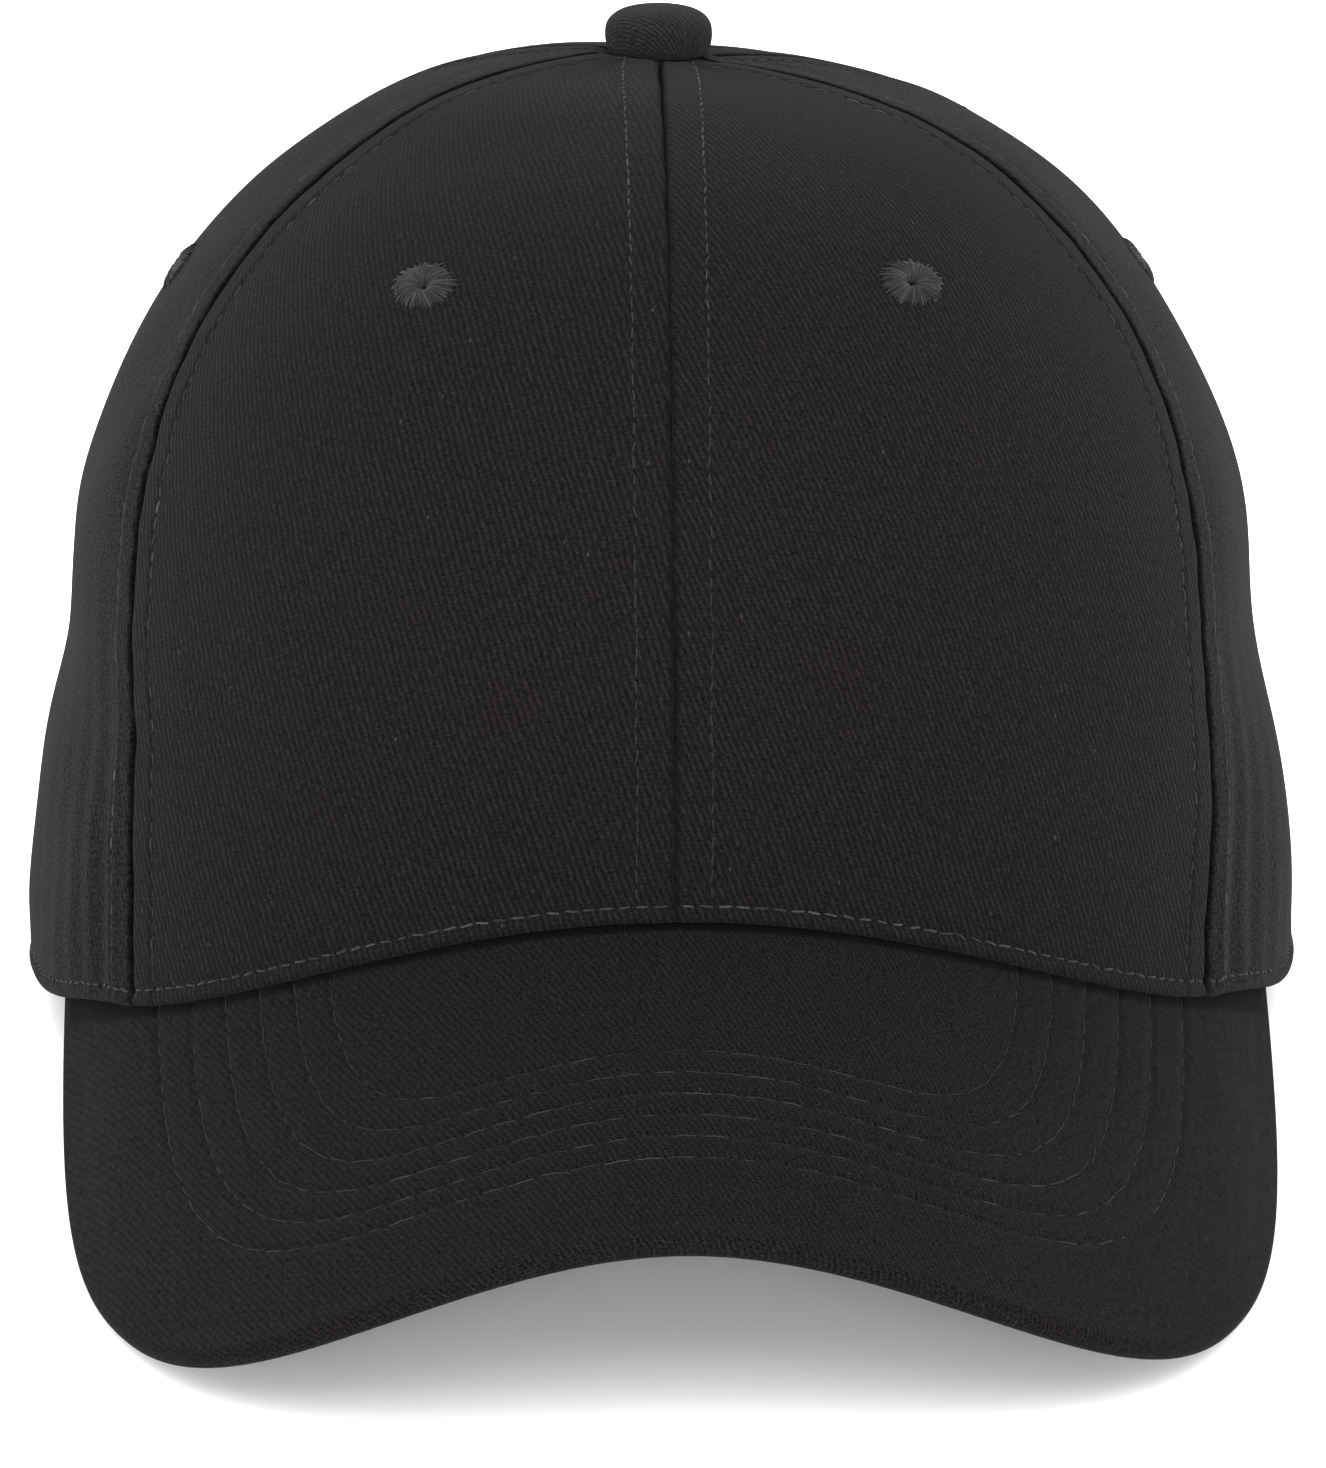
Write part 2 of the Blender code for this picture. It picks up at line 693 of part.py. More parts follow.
def button():
    cover = dome(BUTTON_RADIUS, BUTTON_HEIGHT, BUTTON_CORNER, BUTTON_CROWNING)
    lining = dome(
        BUTTON_RADIUS - BUTTON_CLOTH,
        BUTTON_HEIGHT - BUTTON_CLOTH,
        BUTTON_CORNER - BUTTON_CLOTH,
        BUTTON_CROWNING,
    )
    core = dome(
        BUTTON_RADIUS - BUTTON_CLOTH - SEAT,
        BUTTON_HEIGHT - BUTTON_CLOTH - SEAT,
        BUTTON_CORNER - BUTTON_CLOTH,
        BUTTON_CROWNING,
    )
    socket = POST_RADIUS + SEAT
    socket_top = POST_ENGAGEMENT + SEAT
    hollow = [(0.0, socket_top), (socket, socket_top), (socket, 0.0)]
    flange_top = -PANEL_THICKNESS - 3 * SEAT
    flange_bottom = flange_top - BACK_THICKNESS
    rivet = [
        (0.0, flange_bottom),
        (BACK_RADIUS, flange_bottom),
        (BACK_RADIUS, flange_top),
        (POST_RADIUS, flange_top),
        (POST_RADIUS, POST_ENGAGEMENT),
        (0.0, POST_ENGAGEMENT),
    ]
    pieces = [
        lathe("button_cover", lining[::-1] + cover, ROUND_STEPS, TWILL),
        lathe("button_shell", hollow + core, ROUND_STEPS, STEEL),
        lathe("button_back", rivet, ROUND_STEPS, STEEL),
    ]
    for piece in pieces:
        piece.location = (0, 0, CROWN_HEIGHT + SEAT)


button()


# Eyelets


def eyelet(kind, side, sign):
    """A stitched ring over the panel with a barrel through it, and the hole that it lines."""
    turn = sign * EYELET_TURNS[kind]
    climb = climb_to(turn, CROWN_HEIGHT - EYELET_DROPS[kind])
    normal = crown_normal(turn, climb)
    place = normal.to_track_quat("Z", "Y").to_matrix().to_4x4()
    place.translation = crown_surface(turn, climb)
    profile = [
        (EYELET_BORE, -PANEL_THICKNESS),
        (EYELET_BARREL, -PANEL_THICKNESS),
        (EYELET_BARREL, SEAT),
        (EYELET_RADIUS, SEAT),
        (EYELET_RADIUS - EYELET_RISE / 2, SEAT + EYELET_RISE),
        (EYELET_BORE + EYELET_RISE, SEAT + EYELET_RISE),
        (EYELET_BORE, SEAT),
    ]
    ring = lathe(f"eyelet_{kind}_{side}", profile, SMALL_ROUND_STEPS, THREAD)
    ring.matrix_local = place
    hole = EYELET_BARREL + SEAT
    drill = [(0.0, -EYELET_DRILL), (hole, -EYELET_DRILL), (hole, EYELET_DRILL), (0.0, EYELET_DRILL)]
    cutter = lathe(f"eyelet_hole_{kind}_{side}", drill, SMALL_ROUND_STEPS, THREAD)
    cutter.matrix_local = place
    boolean(panels[kind, side], cutter, "DIFFERENCE")
    if kind == "front":
        boolean(stiffeners[side], cutter, "DIFFERENCE")


for side, sign in (("right", -1), ("left", 1)):
    for kind in EYELET_TURNS:
        eyelet(kind, side, sign)


# Strap closure


def round_rear(radius, angle, height=0.0):
    """A point round the crown's axis, its angle counted from the centre of the rear towards +x."""
    return Vector((radius * math.sin(angle), radius * math.cos(angle), height))


def strap():
    grids = ([], [])
    for column in range(STRAP_COLUMNS + 1):
        angle = mix(STRAP_TAIL_END, STRAP_SEWN_END, column / STRAP_COLUMNS)
        for grid, radius in zip(grids, (strap_outer, strap_inner)):
            grid.append([round_rear(radius, angle, STRAP_BOTTOM), round_rear(radius, angle, STRAP_TOP)])
    return shell("closure_strap", *grids, TWILL)


strap()

bar_hole = BAR_RADIUS + TAB_PLAY
loop_radius = bar_hole + TAB_PLY
bar_place = strap_outer + SEAT + loop_radius
pin_hole = PIN_RADIUS + PIN_PLAY
hub_radius = pin_hole + HUB_WALL
pin_place = strap_outer + TOOTH_GAP + LEVER_TOOTH_WIDTH + hub_radius
flange_inside = (STRAP_BOTTOM - SEAT, STRAP_TOP + SEAT)
flange_outside = (flange_inside[0] - BUCKLE_SHEET, flange_inside[1] + BUCKLE_SHEET)


def buckle_point(place, angle, along, out, height=0.0):
    """A point beside an upright rod: along runs from the pin towards the bar, out is outwards."""
    return round_rear(place + out, angle - along / place, height)


def rod(name, place, angle, radius, bottom, top):
    profile = [(0, bottom), (radius, bottom), (radius, top), (0, top)]
    made = lathe(name, profile, SMALL_ROUND_STEPS, STEEL)
    made.location = round_rear(place, angle)
    return made


def buckle_frame():
    """A channel of folded sheet under the strap, with a bar for the tab and holes for the pin."""
    plate_outer = strap_inner - SEAT
    plate_inner = plate_outer - BUCKLE_SHEET
    rim = pin_place + FLANGE_OVER_PIN
    section = [
        (plate_inner, flange_outside[0]),
        (rim, flange_outside[0]),
        (rim, flange_inside[0]),
        (plate_outer, flange_inside[0]),
        (plate_outer, flange_inside[1]),
        (rim, flange_inside[1]),
        (rim, flange_outside[1]),
        (plate_inner, flange_outside[1]),
    ]
    first = BAR_ANGLE - BUCKLE_OVERHANG / bar_place
    last = PIN_ANGLE + BUCKLE_OVERHANG / pin_place
    sections = []
    for column in range(BUCKLE_COLUMNS + 1):
        angle = mix(first, last, column / BUCKLE_COLUMNS)
        sections.append([round_rear(radius, angle, height) for radius, height in section])
    frame = sweep("buckle_frame", sections, STEEL)
    sunk = BUCKLE_SHEET / 2
    bottom = flange_inside[0] - sunk
    top = flange_inside[1] + sunk
    boolean(frame, rod("buckle_bar", bar_place, BAR_ANGLE, BAR_RADIUS, bottom, top), "UNION")
    bottom = flange_outside[0] - sunk
    top = flange_outside[1] + sunk
    boolean(frame, rod("pin_hole", pin_place, PIN_ANGLE, pin_hole, bottom, top), "DIFFERENCE")
    return frame


def buckle_pin():
    bottom = flange_outside[0] - PIN_PLAY
    top = flange_outside[1] + PIN_PLAY
    profile = [
        (0.0, bottom - PIN_HEAD_THICKNESS),
        (PIN_HEAD_RADIUS, bottom - PIN_HEAD_THICKNESS),
        (PIN_HEAD_RADIUS, bottom),
        (PIN_RADIUS, bottom),
        (PIN_RADIUS, top),
        (PIN_HEAD_RADIUS, top),
        (PIN_HEAD_RADIUS, top + PIN_HEAD_THICKNESS),
        (0.0, top + PIN_HEAD_THICKNESS),
    ]
    pin = lathe("buckle_pin", profile, SMALL_ROUND_STEPS, STEEL)
    pin.location = round_rear(pin_place, PIN_ANGLE)


def arc(radius, first, last, steps):
    """Points of an arc about a rod as (along, out)."""
    angles = [mix(first, last, k / steps) for k in range(steps + 1)]
    return [(radius * math.cos(a), radius * math.sin(a)) for a in angles]


def buckle_lever():
    """A flap over the strap: a hub on the pin, a curved cover and a tooth that grips the strap."""
    under = hub_radius - LEVER_SHEET
    tip = -(pin_place - strap_outer - TOOTH_GAP)
    outline = [(LEVER_LENGTH * k / LEVER_STEPS, hub_radius) for k in range(1, LEVER_STEPS + 1)]
    outline += [(LEVER_LENGTH * k / LEVER_STEPS, under) for k in range(LEVER_STEPS, 1, -1)]
    meets = math.asin(under / hub_radius)
    outline += arc(hub_radius, meets, TOOTH_ROOT - RIGHT_ANGLE, HUB_STEPS // 2)
    outline += [(LEVER_TOOTH_WIDTH / 2, tip), (-LEVER_TOOTH_WIDTH / 2, tip)]
    outline += arc(hub_radius, -RIGHT_ANGLE - TOOTH_ROOT, -3 * RIGHT_ANGLE, HUB_STEPS)
    plan = [buckle_point(pin_place, PIN_ANGLE, along, out) for along, out in outline]
    bottom = flange_inside[0] + LEVER_SIDE_PLAY
    top = flange_inside[1] - LEVER_SIDE_PLAY
    pivot = round_rear(pin_place, PIN_ANGLE)
    lever = prism("buckle_lever", [point - pivot for point in plan], bottom, top, STEEL)
    lever.location = pivot
    bore = rod("lever_bore", pin_place, PIN_ANGLE, pin_hole, bottom - LEVER_SHEET, top + LEVER_SHEET)
    boolean(lever, bore, "DIFFERENCE")


def buckle_tab():
    """A folded strip: its loop holds the bar and its end is sewn into the hem."""
    length = (BAR_ANGLE - TAB_END) * bar_place
    outer = tab_outer - bar_place
    start = math.asin(outer / loop_radius)
    meets = loop_radius * math.cos(start)
    outline = [(mix(length, meets, k / TAB_STEPS), outer) for k in range(TAB_STEPS)]
    outline += arc(loop_radius, start, 3 * RIGHT_ANGLE, SMALL_ROUND_STEPS)
    outline += [(length * k / TAB_STEPS, -loop_radius) for k in range(1, TAB_STEPS + 1)]
    plan = [buckle_point(bar_place, BAR_ANGLE, along, out) for along, out in outline]
    tab = prism("buckle_tab", plan, STRAP_BOTTOM, STRAP_TOP, TWILL)
    eye = rod("tab_eye", bar_place, BAR_ANGLE, bar_hole, STRAP_BOTTOM - SEAT, STRAP_TOP + SEAT)
    boolean(tab, eye, "DIFFERENCE")


buckle_frame()
buckle_pin()
buckle_lever()
buckle_tab()


# Resting pose

cap_rest.rotation_euler.x = -REST_TILT
cap_rest.location.z = HEM_REST_Y * math.sin(REST_TILT)
tip = Matrix.Rotation(-REST_TILT, 4, "X")
reaches = [
    (tip @ piece.matrix_local @ vertex.co).y
    for piece in cap_rest.children
    if not piece.hide_render
    for vertex in piece.data.vertices
]
cap_rest.location.y = -(min(reaches) + max(reaches)) / 2
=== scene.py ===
"""Looks of a six-panel twill cap: cloth, stitching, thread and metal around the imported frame.

Cloth is drawn in the cap's own frame, x across, front towards -y, z up from the level of the
rear hem, from the same driving sizes as the solids. It is then tipped back to rest on the floor.
"""

import json
import math

import bmesh
import bpy
import numpy as np
from mathutils import Matrix, Vector
from mathutils.kdtree import KDTree


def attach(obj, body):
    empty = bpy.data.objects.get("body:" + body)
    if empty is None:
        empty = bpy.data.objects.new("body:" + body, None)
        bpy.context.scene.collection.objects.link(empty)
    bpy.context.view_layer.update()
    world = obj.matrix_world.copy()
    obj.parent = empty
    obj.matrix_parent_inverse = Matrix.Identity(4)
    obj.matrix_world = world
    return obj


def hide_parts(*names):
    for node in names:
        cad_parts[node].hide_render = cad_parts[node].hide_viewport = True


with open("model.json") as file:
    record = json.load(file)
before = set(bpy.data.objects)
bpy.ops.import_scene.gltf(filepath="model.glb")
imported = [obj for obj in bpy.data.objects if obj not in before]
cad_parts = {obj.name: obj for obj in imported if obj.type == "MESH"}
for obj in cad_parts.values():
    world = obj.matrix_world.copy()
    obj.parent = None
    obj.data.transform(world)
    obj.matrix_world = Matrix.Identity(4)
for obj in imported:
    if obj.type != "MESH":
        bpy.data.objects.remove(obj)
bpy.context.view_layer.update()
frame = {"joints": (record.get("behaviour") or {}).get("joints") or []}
MM = 0.001
RIGHT_ANGLE = math.pi / 2
HALF_TURN = math.pi
FULL_TURN = 2 * math.pi
SIDES_OF_CAP = (("right", -1), ("left", 1))

# Crown, as in the solids
CROWN_RADIUS = 0.092
FRONT_REACH = 0.102
CROWN_HEIGHT = 0.127
FRONT_FULLNESS = 3.05
SIDE_FULLNESS = 2.47
WAIST_DEPTH = 0.0035
WAIST_HEIGHT = 0.0427
WAIST_SPREAD = 0.0176
WAIST_RISE = (math.radians(50), math.radians(90))
WAIST_FADE = (math.radians(95), math.radians(120))
APEX_HOLE_RADIUS = 0.005
SIDE_SAG = 0.006
SAG_HEIGHT = 0.035
SAG_RISE = (math.radians(55.6), math.radians(80.5))
SAG_FADE = (math.radians(105), math.radians(130))
FRONT_SEAM_BASE = math.radians(56)
FRONT_SEAM_TOP = math.radians(66)
FRONT_SEAM_SETTLES = 0.5
REAR_SEAM = math.radians(120)
PANEL_THICKNESS = 0.001
LEAST_THICKNESS = 0.00015
STIFFENER_DEPTH = 0.0014
STIFFENER_THICKNESS = 0.0008
STIFFENER_TOP_RADIUS = 0.012
STIFFENER_LIFT = 0.001
STIFFENER_INSET = 0.0007
FRONT_LINING_DEPTH = 0.0026
REAR_LINING_DEPTH = 0.0018
TAPE_THICKNESS = 0.0006
TAPE_TOP_RADIUS = 0.017
SWEATBAND_THICKNESS = 0.0012
SWEATBAND_HEIGHT = 0.032
SWEATBAND_LIFT = 0.0005
SWEATBAND_PADDING = 0.0005
POCKET = (math.radians(95), math.radians(114))
SEAT = 0.0004

# Rear opening
OPENING_HALF_ANGLE = math.radians(32)
OPENING_HEIGHT = 0.052
OPENING_FULLNESS = 2.3
OPENING_TAPE_INSET = 0.0005
OPENING_TAPE_WIDTH = 0.0075
OPENING_TAPE_CLEARANCE = 0.004
SWEATBAND_END_SETBACK = math.radians(2)

# Brim
BRIM_DEPTH = 0.068
BRIM_PITCH = math.radians(25)
BRIM_BEND_RADIUS = 0.0669
BRIM_END = math.radians(68)
BRIM_END_WIDTH = 0.0038
BRIM_END_BACKSET = 0.0082
BRIM_FULLNESS = 3.02
BRIM_TUCK = 0.0012
BRIM_THICKNESS = 0.0036
COVER_THICKNESS = 0.0006
TUCKED_RADIUS = CROWN_RADIUS - BRIM_TUCK
TUCKED_REACH = FRONT_REACH - BRIM_TUCK
BRIM_END_X = TUCKED_RADIUS * math.sin(BRIM_END)
BRIM_END_Y = -TUCKED_REACH * math.cos(BRIM_END)
BRIM_HALF_WIDTH = BRIM_END_X + BRIM_END_WIDTH
BRIM_CENTRE_Y = BRIM_END_Y + BRIM_END_BACKSET
BRIM_FORWARD = FRONT_REACH + BRIM_DEPTH * math.cos(BRIM_PITCH) + BRIM_CENTRE_Y
BRIM_SLOPE_STEP = 0.0005
BRIM_CLOTH_END = math.radians(72.4)
BRIM_CLOTH_END_Y = -TUCKED_REACH * math.cos(BRIM_CLOTH_END)
BRIM_LEAST_WIDTH = 0.0044
BRIM_UNEVENNESS = 0.00006
BRIM_UNEVENNESS_LENGTH = 0.022
BRIM_EVEN_EDGE = 0.006
BRIM_COLUMNS = 421
LIP_ROWS = 14
LIP_RIDGE = 0.00006
LIP_RIDGE_WIDTH = 0.0011
LIP_GROOVE_INSET = 0.0026
LIP_GROOVE_WIDTH = 0.0008
HEM_REST_Y = -CROWN_RADIUS * math.cos(math.radians(140))

# Closure
STRAP_HEIGHT = 0.020
STRAP_BOTTOM = 0.0065
STRAP_TOP = STRAP_BOTTOM + STRAP_HEIGHT
STRAP_THICKNESS = 0.0015
STRAP_ENDS = (math.radians(-46), math.radians(50))
TAB_END = math.radians(-44)
TAB_PLY = 0.0007
TAB_PLY_SHARE = 0.94
TAB_ROW_ENDS = (0.004, 0.002)
BAR_ANGLE = math.radians(-25.5)
BAR_HOLE = 0.00105

# Sewing
TOPSTITCH = 0.0054
HEM_STITCH = 0.0024
ROW_CLEARANCE = 0.0006
THREAD_RADIUS = 0.00014
HEM_THREAD_RADIUS = 0.00017
BRIM_THREAD_RADIUS = 0.0001
CROWN_PITCH = 0.0024
HEM_PITCH = 0.0025
BRIM_STITCH = 0.0044
STITCH_GAP = 0.0003
BRIM_STITCH_GAP = 0.00015
NEEDLE_HOLE = 0.0004
BRIM_ROWS = 6
BRIM_ROW_HALF_WIDTH = 0.0728
BRIM_ROW_FORWARD = 0.1176
BRIM_ROW_STEP_SIDE = 0.00478
BRIM_ROW_STEP_FRONT = 0.00416
BRIM_ROW_FULLNESS = 3.66
BRIM_ROW_FULLNESS_STEP = 0.3
BRIM_ROW_START = 0.985

# Paleness of the stitch rows, beside each panel's two seams, along the hem and on the brim
ROW_TONES = {"front": (0.10, 0.70), "side": (1.00, 0.40), "rear": (0.40, 0.40)}
TOP_ROW_TONE = 0.58
TOP_TONE_RISE = (0.070, 0.125)
HEM_TONES = (0.25, 1.0)
HEM_TONE_FADE = (0.080, 0.010)
BRIM_END_TONE = 0.25
BRIM_TONE_FADE = (0.70, 0.96)

# Relief of the cloth at its seams, hems and stitch rows, and the reach of the painted shade in its seams and
# at its hem
SEAM_ROLL = 0.0005
SEAM_CLEFT = 0.0012
SEAM_CLEFT_WIDTH = 0.00032
SEAM_WAVER = 0.00013
SEAM_WAVER_LENGTH = 0.005
WAVER_INSET = 0.0002
WAVER_ABOVE_HEM = (0.002, 0.012)
SEAM_AT_HEM = 0.15
SEAM_ABOVE_HEM = (0.0005, 0.0035)
# Widths of the painted shade deep in each kind of seam and at the hem's folded edge, wider at the top of the
# front seams
SEAM_SHADE_WIDTHS = {"centre": 0.00042, "front": 0.0008, "rear": 0.0006}
SEAM_WANDER = 0.0022
SEAM_WOBBLE = 0.00018
WOBBLE_WAVES = (61, 143)
WOBBLE_ENDS = (0.04, 0.2)
SEAM_BOW_SPREAD = 0.055
HEM_SHADE_WIDTH = 0.00025
HEM_ROLL = 0.0008
HEM_BULGE = 0.00025
HEM_BULGE_WIDTH = 0.0009
TOP_SHADE_SPREAD = 0.6
TOP_SHADE_RISE = (0.092, 0.122)
TOP_LEAN = 0.0011
TOP_LEAN_HEADING = np.array([-0.8, -0.6])
TOP_LEAN_RISE = 0.0015
TOP_LEAN_FADE = (0.030, 0.055)
# Painted shadow on the brim beside the crown: full up to the first distance from the tucked edge, gone by
# the second
PAINTED_BRIM_SHADOW = (0.0015, 0.0025)
PUCKER = 0.00009
PUCKER_STRETCH = np.array([0.3, 0.3, 1.0])
PUCKER_LENGTH = 0.006
PUCKER_WIDTH = 0.0028
HEM_PUCKER_WIDTH = 0.004
HEM_PUCKER_SHARE = 0.7
SLACK_LENGTH = 0.030
SLACK_REACH = 0.012
GRAIN_CURVE = 1.5
ALLOWANCE_RISE = 0.00022
ALLOWANCE_EDGE = 0.0014
ALLOWANCE_END = 0.0046
STITCH_GROOVE = 0.00022
GROOVE_WIDTH = 0.0005
CROWN_GROOVE_SHARE = 0.4
BRIM_GROOVE_WIDTH = 0.00055
BRIM_GROOVE_SHARE = 1.2
TAPE_WAVE = 0.00005
TAPE_WAVE_LENGTH = 0.02
BAND_CREASE = 0.00012
BAND_CREASE_LENGTH = 0.016
BAND_CREASE_STRETCH = np.array([1, 1, 0.25])
FOLD_START = 0.003
FOLD_PITCH = 0.0078
FOLD_REACH = 0.014
FOLD_HEIGHT = 0.075
FOLD_RISE = 0.004
FOLD_ABOVE_HEM = 0.003
FOLD_STRAY = 0.5
FOLD_STRAY_LENGTH = 0.05
BUTTON_BLEND = 0.004

# Button and eyelets
BUTTON_RADIUS = 0.0073
BUTTON_HEIGHT = 0.0067
BUTTON_FULLNESS = 2.7
BUTTON_MIDDLE = 0.38
BUTTON_SWELL = 0.0004
BUTTON_TUCK = 0.0006
BUTTON_FOOT = -0.0002
BUTTON_CLOTH = 0.0008
BUTTON_GATHER = 0.00003
BUTTON_SOFTNESS = 0.00008
EYELET_RADIUS = 0.0049
EYELET_HOLE = 0.0005
EYELET_DRILL_RADIUS = 0.0019
EYELET_THREAD_RADIUS = 0.00012
EYELET_STRANDS = 120
EYELET_SPACING = (-0.35, 0.35)
EYELET_SLANT = (0.0, 0.20)
EYELET_HOLE_STRAY = (-0.00012, 0.00018)
EYELET_RIM_STRAY = (-0.0009, 0.0004)
EYELET_PROUD = (-0.00016, 0.00014)
DRILL_REACH = 0.004
EYELET_STRETCH = np.array([[1.08], [0.80], [1.0]])
EYELET_DROPS = {"front": 0.021, "side": 0.031, "rear": 0.031}
EYELET_TURNS = {"front": math.radians(30.5), "side": math.radians(92), "rear": math.radians(150)}

# Places where columns and rows of a mesh crowd, as distances from an edge or along a width
EDGE_STEPS = MM * np.array(
    [0, 0.1, 0.25, 0.45, 0.7, 1.0, 1.4, 1.9, 2.6, 3.4, 4.1, 4.6, 5.0, 5.4, 5.8, 6.3, 7.0]
)
HEM_STEPS = MM * np.array([0, 0.1, 0.25, 0.45, 0.7, 1.0, 1.4, 1.8, 2.1, 2.4, 2.7, 3.1, 3.7, 4.6])
HALF_TAPE_PLACES = MM * np.array([0, 1.0, 3.0, 4.6, 5.4, 6.0, 6.6, 6.9, 7.0])
TAPE_PLACES = np.concatenate([-HALF_TAPE_PLACES[:0:-1], HALF_TAPE_PLACES])
TAPE_ROWS = (4, 12)
ARCH_TAPE_PLACES = MM * np.array([0, 0.15, 0.5, 1.0, 1.8, 2.6, 3.8, 5.0, 5.8, 6.5, 7.0, 7.35, 7.5])
ARCH_TAPE_ROWS = (4, 9)
BAND_PLACES = MM * np.array(
    [0, 0.1, 0.3, 0.7, 1.2, 1.8, 2.4, 3.0, 3.8, 5, 7, 9.5, 12, 15, 18, 21, 24, 26.5]
    + [27.8, 28.6, 29.2, 29.8, 30.5, 31.1, 31.6, 31.9, 32.0]
)
BAND_ROWS = (6, 20)
STRAP_PLACES = MM * np.array(
    [0, 0.1, 0.3, 0.7, 1.2, 1.8, 2.2, 2.6, 3.4, 5, 7, 9, 11, 13, 15, 16.6, 17.4, 17.8, 18.2]
    + [18.8, 19.3, 19.7, 19.9, 20.0]
)
STRAP_ROWS = (6, 17)

# Strips: the share of thickness left at an edge and the edge's reach, a stitch groove's share and width
TAPE_EDGE = (0.35, 0.0006)
TAPE_GROOVE = (0.5, 0.0006)
BAND_EDGE = (0.25, 0.0009)
BAND_GROOVE = (1.6, 0.0008)
STRAP_EDGE = (0.2, 0.0007)
STRAP_GROOVE = (0.8, 0.0006)
TAB_EDGE = (0.4, 0.0004)

# Counts of the panels' meshes
CELL = 0.0015
PANEL_ROWS = int(CROWN_HEIGHT * 1.35 / CELL)
COLUMN_STEPS = 260
CLIMB_STEPS = 300
WIDTH_STEPS = 13
EDGE_SHARE = 0.42
EDGE_LINE_STEP = 0.00012
EDGE_ZONE = 0.03
EDGE_BATCH = 256
NEAR_TOP = 0.98

# Where the cap rests: the strap's joint turns about the cap's own upright axis
strap_joint = next(j for j in frame["joints"] if j["name"] == "strap_adjust")
UPRIGHT = Vector(strap_joint["axis"])
REST_TILT = math.atan2(UPRIGHT.y, UPRIGHT.z)
REST_PLACE = Vector(strap_joint["pos_m"]) - UPRIGHT * (STRAP_BOTTOM + STRAP_HEIGHT / 2)
REST = Matrix.Translation(REST_PLACE) @ Matrix.Rotation(-REST_TILT, 4, "X")
REST_ARRAY = np.array(REST)


def ease(value):
    """A smooth step from 0 to 1."""
    value = np.clip(value, 0.0, 1.0)
    return value * value * (3 - 2 * value)


def past(value, start, run):
    """A smooth step from 0 at start to 1 a run further on."""
    return ease((value - start) / run)


def between(value, limits):
    return past(value, limits[0], limits[1] - limits[0])


def bell(distance, width):
    """1 at no distance, falling away over a width."""
    return np.exp(-((distance / width) ** 2))


def mix(first, second, share):
    return first + (second - first) * share


def join(*values):
    """Values side by side as vectors, each spread over the shape that they share."""
    return np.stack(np.broadcast_arrays(*values), -1)


def polar(radius, angle, height):
    """Points round an upright axis."""
    return join(radius * np.cos(angle), radius * np.sin(angle), height)


def unit(vectors):
    return vectors / np.maximum(np.linalg.norm(vectors, axis=-1, keepdims=True), 1e-12)


def ripple(points, wavelength, seed):
    """A smooth, repeatable unevenness of about -1 to 1 over points in space."""
    draws = np.random.default_rng(seed)
    total = np.zeros(points.shape[:-1])
    for _ in range(7):
        heading = unit(draws.normal(size=3))
        length = wavelength * draws.uniform(0.6, 1.6)
        total += np.sin(points @ heading * (FULL_TURN / length) + draws.uniform(0, FULL_TURN))
    return total / 3.0


# Crown surface


def fullness(turn):
    return mix(FRONT_FULLNESS, SIDE_FULLNESS, ease(np.abs(turn) / RIGHT_ANGLE))


def forward_radius(turn):
    return np.where(np.abs(turn) < RIGHT_ANGLE, FRONT_REACH, CROWN_RADIUS)


def at_sides(turn, rise, fade):
    """1 at the crown's sides, between the turns where it has risen and where it starts to fade."""
    return between(np.abs(turn), rise) * (1 - between(np.abs(turn), fade))


def waist(turn, height):
    """The share of the radius lost where the crown draws in above its sweatband."""
    across = at_sides(turn, WAIST_RISE, WAIST_FADE)
    return WAIST_DEPTH / CROWN_RADIUS * across * bell(height - WAIST_HEIGHT, WAIST_SPREAD)


def sag(turn, height):
    """How far the crown hangs at its sides, most at the hem and nothing at SAG_HEIGHT above it."""
    return SIDE_SAG * at_sides(turn, SAG_RISE, SAG_FADE) * np.maximum(1 - height / SAG_HEIGHT, 0.0) ** 2


def crown_surface(turn, climb):
    """Points on the outside: turn is the angle from the front, climb runs from 0 at the base to 1."""
    power = 2 / fullness(turn)
    angle = np.clip(climb, 0, 1) * RIGHT_ANGLE
    height = CROWN_HEIGHT * np.sin(angle) ** power
    reach = np.abs(np.cos(angle)) ** power * (1 - waist(turn, height))
    x = CROWN_RADIUS * reach * np.sin(turn)
    y = -forward_radius(turn) * reach * np.cos(turn)
    return join(x, y, height - sag(turn, height))


def crown_normal(turn, climb):
    step = 0.004
    low = np.maximum(climb - step, 0.0005)
    high = np.minimum(climb + step, 0.9995)
    along = crown_surface(turn, high) - crown_surface(turn, low)
    across = crown_surface(turn + step, climb) - crown_surface(turn - step, climb)
    return unit(np.cross(across, along))


def climb_to(turn, height):
    share = np.clip(height / CROWN_HEIGHT, 0.0, 1.0)
    return np.arcsin(share ** (fullness(turn) / 2)) / RIGHT_ANGLE


def climb_at_radius(turn, radius):
    size = np.hypot(CROWN_RADIUS * np.sin(turn), forward_radius(turn) * np.cos(turn))
    return np.arccos((radius / size) ** (fullness(turn) / 2)) / RIGHT_ANGLE


def plan_radius(turn, climb):
    return np.linalg.norm(crown_surface(turn, climb)[..., :2], axis=-1)


def turn_of(points):
    forward = np.where(points[..., 1] < 0, FRONT_REACH, CROWN_RADIUS)
    return np.arctan2(points[..., 0] / CROWN_RADIUS, -points[..., 1] / forward)


# Seams, as angles from the front by climb


